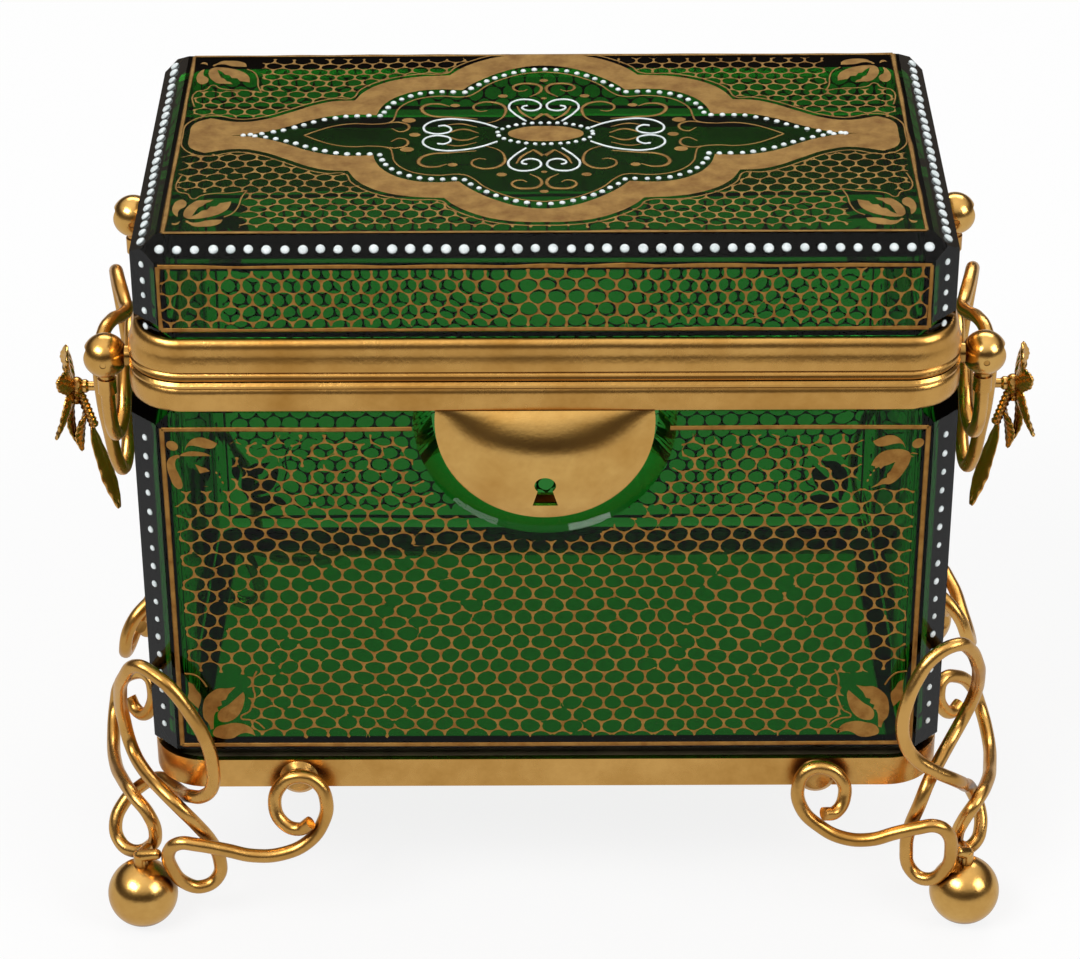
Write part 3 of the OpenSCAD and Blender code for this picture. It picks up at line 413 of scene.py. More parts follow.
# The leaf sprays: thin cast leaves with a rib and toothed edges, curled by hand, on stems bound with fine wire
# and soldered to a little ball at the end of the clasp's rod.
spray_leaves = [(8, 5, -14, 30, 6, 12, 1.2), (7.5, 4.2, 30, -30, 55, 0, 1.6), (8, 4.6, 20, 25, -75, 8, 1.6),
                (8.5, 5, 24, -20, 130, 6, 2), (8, 3.4, -16, 20, 172, 8, 3)]
spray_x = lug.x + 8.4
spray_z = lug.z - 19.5


def cast_leaf(length, width, curl, twist, place):
    """A leaf that grows upwards, with its size in millimetres, put in place on the spray."""
    bpy.ops.object.select_all(action="DESELECT")
    bpy.ops.mesh.primitive_grid_add(x_subdivisions=8, y_subdivisions=22, size=2)
    leaf = bpy.context.object
    for vertex in leaf.data.vertices:
        across = vertex.co.x
        along = (vertex.co.y + 1) / 2
        outline = min(1, 0.12 + math.sin(math.pi * along ** 0.72) ** 0.8)
        tooth = 1 - 0.16 * abs(across) * (1 - abs(math.sin(along * math.pi * 6)))
        half = width / 2 * outline * tooth * across
        bent = math.radians(curl) * along
        bow = length / math.radians(curl)
        turned = math.radians(twist) * along
        vein = 0.12 * math.sin(along * 40 - abs(across) * 5) * min(1, abs(across) * 3)
        cup = 0.22 * width * across * across * outline + 0.3 * max(0, 1 - abs(across) * 4) + vein + 0.25
        x = -bow * (1 - math.cos(bent)) - cup * math.cos(turned) * math.cos(bent) - half * math.sin(turned)
        y = half * math.cos(turned) - cup * math.sin(turned)
        z = bow * math.sin(bent) + cup * math.cos(turned) * math.sin(bent)
        vertex.co = (x / 1000, y / 1000, z / 1000)
    wall = leaf.modifiers.new("wall", "SOLIDIFY")
    wall.thickness = 0.00045
    wall.offset = 0
    bpy.ops.object.modifier_apply(modifier=wall.name)
    soft = leaf.modifiers.new("soft", "SUBSURF")
    soft.levels = 1
    soft.render_levels = 1
    bpy.ops.object.modifier_apply(modifier=soft.name)
    leaf.data.transform(place)
    return leaf


def bound_stem(length, width, place):
    """A stem wound with fine wire: a rod that swells at each turn."""
    turns = max(2, round(length / 0.45))
    points = [place @ Vector((0, 0, length * step / turns / 1000)) for step in range(turns + 1)]
    return bent_wire("stem", points, width / 1000, [1 if step % 2 else 0.78 for step in range(turns + 1)], 3)


for side, side_x in (("left", -1), ("right", 1)):
    ball = Matrix.Translation((-spray_x / 1000, 0, spray_z / 1000))
    parts = []
    bpy.ops.object.select_all(action="DESELECT")
    bpy.ops.mesh.primitive_uv_sphere_add(segments=24, ring_count=14, radius=0.0016)
    boss = bpy.context.object
    boss.data.transform(Matrix.Diagonal((0.8, 1, 1, 1)))
    boss.data.transform(ball)
    parts.append(boss)
    parts.append(bent_wire("rod_end", [ball @ Vector((0.0004 * step, 0, 0)) for step in range(6)], 0.0022,
                           (1, 1, 0.95, 1.05, 1.05, 0.8)))
    for length, width, curl, twist, lean_across, lean_out, stem in spray_leaves:
        place = (ball @ Matrix.Rotation(math.radians(lean_across), 4, "X")
                 @ Matrix.Rotation(math.radians(-lean_out), 4, "Y"))
        parts.append(bound_stem(stem, 1.7, place))
        parts.append(cast_leaf(length, width, curl, twist, place @ Matrix.Translation((0, 0, (stem - 0.6) / 1000))))
    hanging = ball @ Matrix.Rotation(math.radians(178), 4, "X") @ Matrix.Rotation(math.radians(18), 4, "Y")
    parts.append(bound_stem(8, 1.8, hanging))
    parts.append(cast_leaf(17, 3.8, 12, 50, hanging @ Matrix.Translation((0, 0, 0.0074))))
    leaning = hanging @ Matrix.Translation((0, 0, 0.0054)) @ Matrix.Rotation(math.radians(-34), 4, "Y")
    parts.append(cast_leaf(7.5, 4.4, -12, 20, leaning))
    bpy.ops.object.select_all(action="DESELECT")
    for part in parts:
        part.select_set(True)
    bpy.context.view_layer.objects.active = boss
    bpy.ops.object.join()
    spray = bpy.context.object
    spray.name = "cast_leaves_" + side
    if side_x > 0:
        spray.data.transform(Matrix.Diagonal((-1, 1, 1, 1)))
    bpy.ops.object.mode_set(mode="EDIT")
    bpy.ops.mesh.select_all(action="SELECT")
    bpy.ops.mesh.normals_make_consistent(inside=False)
    bpy.ops.object.mode_set(mode="OBJECT")
    bpy.ops.object.shade_smooth_by_angle(angle=math.radians(40))
    stands_for(spray, "leaf_spray_" + side, bright_gilt)


# The lock cover: a half-moon of sheet brass, raised to a dome whose top rolls back under the collar,
# with a wall that reaches into the ground seat and a keyhole filed through it.
lock_middle = 0.09515
cover_radius = 0.01725
cover_top = 0.00195
cover_wall = 0.0007
front_of_glass = 0.0374
bottom_of_seat = 0.0346
keyhole_height = 0.0855
bpy.ops.object.select_all(action="DESELECT")
bpy.ops.mesh.primitive_grid_add(x_subdivisions=48, y_subdivisions=36, size=2)
cover = bpy.context.object
cover.name = "lock_dome"
for vertex in cover.data.vertices:
    drop = math.sin((1 - vertex.co.y) / 2 * math.pi / 2)
    up = cover_top - (cover_top + cover_radius) * drop
    across = vertex.co.x * math.sqrt(max(0, cover_radius ** 2 - up ** 2))
    crown = 0.0006 + 0.0043 * (1 - (across ** 2 + up ** 2) / cover_radius ** 2)
    rolled = math.sin(min(1, (cover_top - up) / 0.0115) * math.pi / 2) ** 0.8
    vertex.co = (across, -front_of_glass - 0.0002 - crown * rolled, lock_middle + up)
bpy.ops.object.mode_set(mode="EDIT")
bpy.ops.mesh.select_all(action="SELECT")
bpy.ops.mesh.remove_doubles(threshold=0.00001)
bpy.ops.mesh.select_all(action="SELECT")
bpy.ops.mesh.region_to_loop()
bpy.ops.mesh.extrude_edges_move()
bpy.ops.object.mode_set(mode="OBJECT")
for vertex in cover.data.vertices:
    if vertex.select:
        vertex.co.y = -bottom_of_seat
rim = cover.modifiers.new("rim", "BEVEL")
rim.width = 0.0005
rim.segments = 3
rim.limit_method = "ANGLE"
rim.angle_limit = math.radians(45)
bpy.ops.object.modifier_apply(modifier=rim.name)
wall = cover.modifiers.new("wall", "SOLIDIFY")
wall.thickness = cover_wall
wall.offset = -1
bpy.ops.object.modifier_apply(modifier=wall.name)
bpy.ops.mesh.primitive_cylinder_add(vertices=40, radius=0.0017, depth=0.02,
                                    location=(0, -0.04, keyhole_height), rotation=(math.pi / 2, 0, 0))
round_part = bpy.context.object
bpy.ops.mesh.primitive_cube_add(size=1, location=(0, 0, 0))
slot_part = bpy.context.object
for vertex in slot_part.data.vertices:
    half = 0.0009 if vertex.co.z > 0 else 0.002
    height = 0 if vertex.co.z > 0 else -0.0046
    vertex.co = (math.copysign(half, vertex.co.x), -0.04 + vertex.co.y * 0.02, keyhole_height + height)
for cutter in (round_part, slot_part):
    bpy.ops.object.select_all(action="DESELECT")
    bpy.context.view_layer.objects.active = cover
    cover.select_set(True)
    hole = cover.modifiers.new("keyhole", "BOOLEAN")
    hole.operation = "DIFFERENCE"
    hole.object = cutter
    bpy.ops.object.modifier_apply(modifier=hole.name)
    bpy.data.objects.remove(cutter)
bpy.ops.object.shade_smooth_by_angle(angle=math.radians(35))
stands_for(cover, "lock_cover", bright_gilt)


# The setting cement that beds the glass in the metal: plaster, toned brown with size so that it hardly shows.
def toned_plaster():
    material = bpy.data.materials.new("toned_plaster")
    material.use_nodes = True
    nodes = material.node_tree.nodes
    links = material.node_tree.links
    surface = nodes["Principled BSDF"]
    surface.inputs["Roughness"].default_value = 0.9
    place = nodes.new("ShaderNodeTexCoord")
    cloud = nodes.new("ShaderNodeTexNoise")
    cloud.inputs["Scale"].default_value = 300
    links.new(place.outputs["Object"], cloud.inputs["Vector"])
    tone = nodes.new("ShaderNodeValToRGB")
    tone.color_ramp.elements[0].color = (0.05, 0.035, 0.02, 1)
    tone.color_ramp.elements[1].color = (0.16, 0.11, 0.06, 1)
    links.new(cloud.outputs[0], tone.inputs[0])
    links.new(tone.outputs[0], surface.inputs["Base Color"])
    return material


cement = toned_plaster()
for name in ("body_cement", "lid_cement", "base_cement"):
    finish_node(name, cement)


# The lock's spring: a strip of blued steel.
spring_steel = gilded_metal("spring_steel", (0.42, 0.43, 0.45), (0.2, 0.22, 0.26), 0.3)
finish_node("lock_spring", spring_steel)


# The faces that the gilder painted. Each piece of gilding is drawn flat, with y up the face, and laid on it.
lid_low, lid_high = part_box("lid_glass")
box_low, box_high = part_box("body_glass")
lift = 0.00002
on_lid_top = Matrix.Translation((0, 0, lid_high[2] + lift))
upright = Matrix.Rotation(math.pi / 2, 4, "X")


def on_side(angle, distance):
    """The flat face that far out from the middle: 0 is the front, 90 the right, 180 the back."""
    turned = Matrix.Rotation(math.radians(angle), 4, "Z")
    return turned @ Matrix.Translation((0, -distance - lift, 0)) @ upright


half_w = box_high[0]
half_d = box_high[1]
lid_half_w = lid_high[0]
lid_half_d = lid_high[1]


# The gilding: gold powder fired on the glass, thin, matt and slightly brown, and worn through in many places.
gilding = gilded_metal("fired_gilding", (0.52, 0.27, 0.07), (0.34, 0.15, 0.035), 0.42, patch=500, scratch=0.15)
# The lid top's gilding is a darker, rougher copy of the same gilding: painted shade for the face that looks up.
top_gilding = gilded_metal("shaded_top_gilding", (0.29, 0.17, 0.05), (0.18, 0.09, 0.025), 0.5, patch=320, scratch=0.15)


def lay(piece, face, body, material, thickness=0.00003):
    """Gives a flat sheet of paint its thickness and lays it on a face."""
    bpy.ops.object.select_all(action="DESELECT")
    bpy.context.view_layer.objects.active = piece
    piece.select_set(True)
    if thickness:
        shell = piece.modifiers.new("paint", "SOLIDIFY")
        shell.thickness = thickness
        shell.offset = 1
        bpy.ops.object.modifier_apply(modifier=shell.name)
    piece.data.transform(face)
    piece.data.materials.clear()
    piece.data.materials.append(material)
    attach(piece, body)


def scale_net(name, low, high, cell, strand, keep, wear, seed):
    """A net of oval meshes between two corners of a face, drawn freely and worn away in patches."""
    cell_w, cell_h = cell
    bpy.ops.object.select_all(action="DESELECT")
    bpy.ops.mesh.primitive_circle_add(vertices=6, radius=1, fill_type="NGON")
    net = bpy.context.object
    net.name = name
    net.data.transform(Matrix.Diagonal((cell_w / math.sqrt(3), cell_h / 1.5, 1, 1)))
    bpy.ops.object.mode_set(mode="EDIT")
    bpy.ops.mesh.select_all(action="SELECT")
    bpy.ops.mesh.inset(thickness=strand / 2, depth=0)
    bpy.ops.transform.resize(value=(0.95, 1, 1), center_override=(0, 0, 0))
    bpy.ops.mesh.delete(type="FACE")
    bpy.ops.mesh.select_all(action="SELECT")
    bpy.ops.mesh.duplicate()
    bpy.ops.transform.translate(value=(cell_w / 2, cell_h, 0))
    bpy.ops.object.mode_set(mode="OBJECT")
    columns = math.ceil((high[0] - low[0]) / cell_w) + 1
    rows = math.ceil((high[1] - low[1]) / cell_h / 2) + 1
    for count, step in ((columns, (cell_w, 0, 0)), (rows, (0, 2 * cell_h, 0))):
        array = net.modifiers.new("row", "ARRAY")
        array.count = count
        array.use_relative_offset = False
        array.use_constant_offset = True
        array.constant_offset_displace = step
        array.use_merge_vertices = True
        array.merge_threshold = cell_w / 100
        bpy.ops.object.modifier_apply(modifier=array.name)
    bpy.ops.object.mode_set(mode="EDIT")
    bpy.ops.mesh.select_all(action="SELECT")
    bpy.ops.mesh.remove_doubles(threshold=cell_w / 100)
    bpy.ops.object.mode_set(mode="OBJECT")
    for vertex in net.data.vertices:
        spot = vertex.co + Vector((low[0], low[1], 0))
        hand = noise.noise_vector(spot * 420 + Vector((0, 0, seed)))
        slow = noise.noise_vector(spot * 60 + Vector((0, 0, seed + 9)))
        shift = hand * cell_w * 0.13 + slow * cell_w * 0.34
        vertex.co = spot + Vector((shift.x, shift.y, 0))
    rounding = net.modifiers.new("rounding", "SUBSURF")
    rounding.levels = 1
    rounding.render_levels = 1
    rounding.use_limit_surface = False
    bpy.ops.object.modifier_apply(modifier=rounding.name)
    doomed = []
    for face in net.data.polygons:
        spot = face.center
        inside = low[0] < spot.x < high[0] and low[1] < spot.y < high[1] and keep(spot.x, spot.y)
        broad = noise.noise(Vector((spot.x * 110, spot.y * 110, seed + 3)))
        fine = noise.noise(Vector((spot.x * 700, spot.y * 700, seed + 5)))
        wear_and_shade = broad * 0.35 + fine * 0.6 + wear(spot.x, spot.y) > 0.36
        face.select = not inside or wear_and_shade
    for edge in net.data.edges:
        edge.select = False
    for vertex in net.data.vertices:
        vertex.select = False
    for face in net.data.polygons:
        if face.select:
            doomed.append(face.index)
    bpy.ops.object.mode_set(mode="EDIT")
    bpy.ops.mesh.select_mode(type="FACE")
    bpy.ops.mesh.select_all(action="DESELECT")
    bpy.ops.object.mode_set(mode="OBJECT")
    for index in doomed:
        net.data.polygons[index].select = True
    bpy.ops.object.mode_set(mode="EDIT")
    bpy.ops.mesh.delete(type="FACE")
    bpy.ops.object.mode_set(mode="OBJECT")
    return net


def inside_outline(x, y, outline):
    """True if a point of a face lies inside a closed outline."""
    crossings = 0
    for (x0, y0), (x1, y1) in zip(outline, outline[1:] + outline[:1]):
        if (y0 > y) != (y1 > y) and x < (x1 - x0) * (y - y0) / (y1 - y0) + x0:
            crossings += 1
    return crossings % 2 == 1


# The net on the box: front, back and sides, inside a ruled gold line, clear of the lock and the corner sprigs.
net_cell = (0.00338, 0.00229)
net_strand = 0.0001


def clear_of_sprigs(x, y, half_x):
    """True outside the corners that the leaf sprigs fill: above they are square, below they are rounder."""
    across = half_x - abs(x)
    above = across < 0.0105 and y > 0.0825
    below = across < 0.0115 and y < 0.0482 - max(0, across - 0.003) * 0.12
    return not above and not below


def front_keep(x, y):
    return clear_of_sprigs(x, y, 0.0600) and math.hypot(x, y - lock_middle) > 0.0222


def back_keep(x, y):
    return clear_of_sprigs(x, y, 0.0600)


def side_keep(x, y):
    return clear_of_sprigs(x, y, 0.0324)


def top_wear(x, y):
    """The rows under the collar are rubbed most, and more to the left."""
    upper = max(0, (y - 0.076) / 0.016)
    return upper * (0.2 - 1.2 * x)


net = scale_net("front_net", (-0.0582, 0.035), (0.0582, 0.0925), net_cell, net_strand, front_keep, top_wear, 1)
lay(net, on_side(0, half_d), "casket", gilding)
net = scale_net("back_net", (-0.0582, 0.035), (0.0582, 0.0925), net_cell, net_strand, back_keep, top_wear, 2)
lay(net, on_side(180, half_d), "casket", gilding)
for side, angle in (("right", 90), ("left", -90)):
    net = scale_net(side + "_net", (-0.0306, 0.035), (0.0306, 0.0925), net_cell, net_strand, side_keep,
                    top_wear, angle)
    lay(net, on_side(angle, half_w), "casket", gilding)


# The medallion on the lid: an ogee cartouche in a broad flat gold band, drawn as four like quarters.
# Each quarter runs from the pointed end to the top of the middle lobe; "cusp" marks its sharp points.
medallion_y = 0.0017
band_outer = [(57.1, 0, "cusp"), (56.6, 4.4, ""), (54.2, 6.3, "cusp"), (49, 4.9, ""), (45.2, 5.9, ""),
              (41, 8.6, ""), (37, 11.4, ""), (34, 12.6, ""), (31, 12.8, "cusp"), (29.4, 16.3, ""),
              (27.1, 18.9, ""), (24.2, 20.7, ""), (20.7, 21.8, ""), (15.6, 22.3, "cusp"), (14, 24.7, ""),
              (10.9, 27.6, ""), (7.5, 29.5, ""), (3.5, 30.4, ""), (0, 30.5, "")]
band_inner = [(50.5, 0, "cusp"), (47, 0.5, ""), (43.5, 1.9, ""), (40.7, 3.6, ""), (38, 5.4, ""),
              (33.7, 7.2, ""), (29.5, 7.5, ""), (27.2, 7.3, "cusp"), (26.7, 9.7, ""), (25.6, 12.2, ""),
              (23.8, 14.4, ""), (21, 16.2, ""), (17.5, 16.9, ""), (13.4, 16.6, "cusp"), (11.9, 18.8, ""),
              (9.8, 21.1, ""), (7.2, 23.3, ""), (4, 25.2, ""), (0, 26, "")]


def four_quarters(quarter):
    """The closed outline, in millimetres, of which this is the quarter with both coordinates positive."""
    closed = list(quarter)
    closed += [(-x, y, kind) for x, y, kind in reversed(quarter[:-1])]
    closed += [(x, -y, kind) for x, y, kind in [(-q[0], q[1], q[2]) for q in quarter[1:]]]
    closed += [(x, -y, kind) for x, y, kind in reversed(quarter[1:-1])]
    return closed


def cut_shapes(name, outlines, middle=(0, 0)):
    """Flat shapes inside closed outlines given in millimetres; an outline inside another is a hole."""
    bpy.ops.object.select_all(action="DESELECT")
    bpy.ops.curve.primitive_bezier_circle_add()
    shape = bpy.context.object
    shape.name = name
    shape.data.dimensions = "2D"
    shape.data.fill_mode = "BOTH"
    shape.data.resolution_u = 6
    shape.data.splines.clear()
    for outline in outlines:
        spline = shape.data.splines.new("BEZIER")
        spline.bezier_points.add(len(outline) - 1)
        spline.use_cyclic_u = True
        for point, (x, y, kind) in zip(spline.bezier_points, outline):
            point.co = (middle[0] + x / 1000, middle[1] + y / 1000, 0)
            point.handle_left_type = "VECTOR" if kind else "AUTO"
            point.handle_right_type = point.handle_left_type
    bpy.ops.object.convert(target="MESH")
    return bpy.context.object


medallion = cut_shapes("medallion_band", [four_quarters(band_outer), four_quarters(band_inner)],
                       (0, medallion_y))
lay(medallion, on_lid_top, "lid", top_gilding)


def grown(quarter, by):
    """The four-quartered outline, moved outwards by so many millimetres."""
    closed = four_quarters(quarter)
    moved = []
    for index, (x, y, kind) in enumerate(closed):
        before = Vector(closed[index - 1][:2])
        after = Vector(closed[(index + 1) % len(closed)][:2])
        out = Vector(((after - before).y, -(after - before).x)).normalized()
        if out.dot(Vector((x, y))) < 0:
            out = -out
        moved.append((x + out.x * by, y + out.y * by, kind))
    return moved


lid_margin = [(x / 1000, y / 1000 + medallion_y) for x, y, kind in grown(band_outer, 1.1)]


def lid_keep(x, y):
    corner = abs(x) > 0.0468 and abs(y) > 0.0182
    return not corner and not inside_outline(x, y, lid_margin)


def lid_wear(x, y):
    return -0.08


net = scale_net("lid_top_net", (-0.0573, -0.0305), (0.0573, 0.0305), (0.00285, 0.00216), 0.0001, lid_keep,
                lid_wear, 5)
lay(net, on_lid_top, "lid", top_gilding)
for side, angle, reach, distance in (("front", 0, 0.0588, lid_half_d), ("back", 180, 0.0588, lid_half_d),
                                     ("right", 90, 0.0312, lid_half_w), ("left", -90, 0.0312, lid_half_w)):
    net = scale_net("lid_" + side + "_net", (-reach, 0.1116), (reach, 0.1214), (0.00302, 0.00232), 0.0001,
                    lambda x, y: True, lid_wear, 20 + angle)
    lay(net, on_side(angle, distance), "lid", gilding)


# The brush lines: ruled frames, the fine line round the medallion, the gold scrolls and the white scrolls.
# A line is a round stroke of paint pressed flat, as wide at each point as the brush was.
def brush_lines(name, lines, width, middle=(0, 0), flat=0.12, closed=False):
    """Strokes through points in millimetres; a third number at a point is the width there, from 0 to 1."""
    bpy.ops.object.select_all(action="DESELECT")
    bpy.ops.curve.primitive_bezier_curve_add()
    strokes = bpy.context.object
    strokes.name = name
    strokes.data.splines.clear()
    strokes.data.bevel_depth = width / 2
    strokes.data.bevel_resolution = 1
    strokes.data.resolution_u = 5
    strokes.data.use_fill_caps = True
    for line in lines:
        spline = strokes.data.splines.new("BEZIER")
        spline.bezier_points.add(len(line) - 1)
        spline.use_cyclic_u = closed
        for point, mark in zip(spline.bezier_points, line):
            point.co = (middle[0] + mark[0] / 1000, middle[1] + mark[1] / 1000, 0)
            point.radius = mark[2] if len(mark) > 2 else 1
            point.handle_left_type = "AUTO"
            point.handle_right_type = "AUTO"
    bpy.ops.object.convert(target="MESH")
    strokes = bpy.context.object
    strokes.data.transform(Matrix.Diagonal((1, 1, flat, 1)))
    return strokes


def mirrored(lines, across_x=True, across_y=True):
    """The strokes with their mirror images left to right and front to back."""
    signs_x = (1, -1) if across_x else (1,)
    signs_y = (1, -1) if across_y else (1,)
    return [[(mark[0] * sx, mark[1] * sy, *mark[2:]) for mark in line]
            for line in lines for sx in signs_x for sy in signs_y]


white_scrolls = mirrored([[(2.9, 4.9), (5, 8.1), (5.7, 10.3), (4.8, 12.4), (2.9, 13), (1, 12), (0.5, 10.3),
                           (1.3, 9), (2.9, 9), (3.5, 10.2), (2.7, 10.7)],
                          [(7.5, 2.5), (10, 4.3), (13.1, 5.5), (16.2, 5.7), (18.7, 4.3), (19.4, 2.2),
                           (18.3, 0.6), (16.1, 0.5), (15, 1.6), (15.9, 3.3), (17.1, 3.2)]])


def painted(name, colour, roughness):
    material = bpy.data.materials.new(name)
    material.use_nodes = True
    nodes = material.node_tree.nodes
    links = material.node_tree.links
    surface = nodes["Principled BSDF"]
    surface.inputs["Roughness"].default_value = roughness
    place = nodes.new("ShaderNodeTexCoord")
    cloud = nodes.new("ShaderNodeTexNoise")
    cloud.inputs["Scale"].default_value = 900
    links.new(place.outputs["Object"], cloud.inputs["Vector"])
    tone = nodes.new("ShaderNodeValToRGB")
    tone.color_ramp.elements[0].position = 0.3
    tone.color_ramp.elements[0].color = (colour[0] * 0.72, colour[1] * 0.76, colour[2] * 0.76, 1)
    tone.color_ramp.elements[1].position = 0.6
    tone.color_ramp.elements[1].color = (*colour, 1)
    links.new(cloud.outputs[0], tone.inputs[0])
    links.new(tone.outputs[0], surface.inputs["Base Color"])
    bump = nodes.new("ShaderNodeBump")
    bump.inputs["Strength"].default_value = 0.15
    bump.inputs["Distance"].default_value = 0.0002
    links.new(cloud.outputs[0], bump.inputs["Height"])
    links.new(bump.outputs[0], surface.inputs["Normal"])
    return material


enamel = painted("white_enamel", (0.78, 0.83, 0.83), 0.25)
strokes = brush_lines("white_scrolls", white_scrolls, 0.00042, (0, medallion_y), flat=0.6)
lay(strokes, on_lid_top, "lid", enamel, thickness=0)

gold_scrolls = mirrored([[(2.3, 14, 0.3), (0.6, 16, 1), (0.7, 18.2, 1.1), (2.3, 19.1, 1.2), (4.8, 18.3, 1),
                          (4.8, 16.7, 0.8), (3.5, 16.2, 0.6), (2.7, 16.9, 0.4)],
                         [(10.8, 5.8, 0.4), (15, 6.5, 0.8), (18.4, 7.1, 1), (19.9, 9.2, 1.2),
                          (19.5, 10.8, 1.2), (17.4, 11.5, 1), (15.4, 10.5, 0.4)],
                         [(9.3, 4.1, 0.3), (7.3, 5.5, 0.6), (6.3, 7.9, 0.9), (6.6, 10.6, 1.1),
                          (8.6, 12.1, 1), (10.7, 11.6, 0.9), (11.5, 9.9, 0.8), (10.4, 8.6, 0.6),
                          (9.2, 8.9, 0.4)],
                         [(1.6, 5.4, 0.5), (3.6, 8, 1), (4.4, 10.4, 0.5)],
                         [(0.2, 7.6, 1.4), (1.6, 5.6, 1)],
                         [(10.5, 0.6, 0.4), (13, 2, 1), (15.4, 0.8, 0.6)],
                         [(10.8, 2.8, 0.3), (13.6, 4, 0.8), (15.6, 3.6, 0.4)],
                         [(24.6, 2.4, 0.4), (23, 1.2, 0.7), (21.8, 3, 0.9), (23.2, 4.6, 0.8), (26, 4.2, 0.5)]])
strokes = brush_lines("gold_scrolls", gold_scrolls, 0.00062, (0, medallion_y))
lay(strokes, on_lid_top, "lid", top_gilding, thickness=0)

fine_line = [(38.6, 0), (36.4, 1.8), (33.6, 3.5), (30.7, 4.2), (27.4, 4), (24.8, 4.8), (24.2, 6.8),
             (23.8, 9.4), (22.3, 12), (20.2, 13.6), (17, 14.4), (12.8, 14.2), (11.2, 15.6), (9.4, 18.4),
             (6.9, 20.8), (3.6, 22.8), (0, 23.6)]
strokes = brush_lines("medallion_line", mirrored([fine_line]), 0.00036, (0, medallion_y))
lay(strokes, on_lid_top, "lid", top_gilding, thickness=0)
edge_line = [(x, min(y, 30.3)) for x, y, kind in grown(band_outer, 1.05)]
strokes = brush_lines("medallion_edge", [edge_line], 0.00034, (0, medallion_y), closed=True)
lay(strokes, on_lid_top, "lid", top_gilding, thickness=0)


def frame_line(half_x, low_y, high_y, breaks=()):
    """A ruled frame as separate strokes, each slightly uneven."""
    corners = [(-half_x, low_y), (half_x, low_y), (half_x, high_y), (-half_x, high_y)]
    lines = []
    for start, end in zip(corners, corners[1:] + corners[:1]):
        a = Vector(start)
        b = Vector(end)
        steps = max(3, round((b - a).length / 6))
        line = []
        for step in range(steps + 1):
            spot = a.lerp(b, step / steps)
            hand = noise.noise(Vector((spot.x * 0.3, spot.y * 0.3, half_x)))
            line.append((spot.x + hand * 0.12, spot.y + hand * 0.12, 0.9 + hand * 0.5))
        lines.append(line)
    return lines


strokes = brush_lines("lid_top_frame", frame_line(58.6, -31.9, 31.9), 0.0008)
lay(strokes, on_lid_top, "lid", top_gilding, thickness=0)
for side, angle, reach, distance in (("front", 0, 59.2, lid_half_d), ("back", 180, 59.2, lid_half_d),
                                     ("right", 90, 31.6, lid_half_w), ("left", -90, 31.6, lid_half_w)):
    strokes = brush_lines("lid_" + side + "_frame", frame_line(reach, 110.9, 121.9), 0.0007)
    lay(strokes, on_side(angle, distance), "lid", gilding, thickness=0)
front_frame = [[(-20.8, 93.8), (-33, 93.7), (-48, 93.8), (-60, 93.8)], [(-60, 94), (-59.9, 60), (-60, 33.2)],
               [(-60, 33.3), (0, 33.2), (60, 33.3)], [(60, 33.2), (59.9, 60), (60, 94)],
               [(19.6, 93.8), (40, 93.9), (60, 93.8)]]
strokes = brush_lines("front_frame", front_frame, 0.0008)
lay(strokes, on_side(0, half_d), "casket", gilding, thickness=0)
strokes = brush_lines("back_frame", frame_line(60, 33.3, 93.8), 0.0008)
lay(strokes, on_side(180, half_d), "casket", gilding, thickness=0)
for side, angle in (("right", 90), ("left", -90)):
    strokes = brush_lines(side + "_frame", frame_line(32.4, 33.3, 93.8), 0.0008)
    lay(strokes, on_side(angle, half_w), "casket", gilding, thickness=0)


# The gold ovals and dots of the medallion, and the leaf sprigs in the corners of every face.
def oval(x, y, rx, ry, turn=0):
    """A closed outline of eight points."""
    c = math.cos(math.radians(turn))
    s = math.sin(math.radians(turn))
    outline = []
    for step in range(8):
        a = math.cos(step * math.pi / 4) * rx
        b = math.sin(step * math.pi / 4) * ry
        outline.append((x + a * c - b * s, y + a * s + b * c, ""))
    return outline


spots = [oval(0.3, 0.3, 6.1, 2.75)]
for x, y, r in ((0, 20.2, 0.7), (6.7, 14.3, 0.8), (14.5, 10.8, 0.8), (0, 13.4, 0.5), (21.9, 5.3, 1.1),
                (20.8, 0, 0.9)):
    for sx in (1, -1):
        for sy in (1, -1):
            if (x or sx > 0) and (y or sy > 0):
                spots.append(oval(x * sx, y * sy, r, r * 0.75))
medallion_spots = cut_shapes("medallion_spots", spots, (0, medallion_y))
lay(medallion_spots, on_lid_top, "lid", top_gilding)

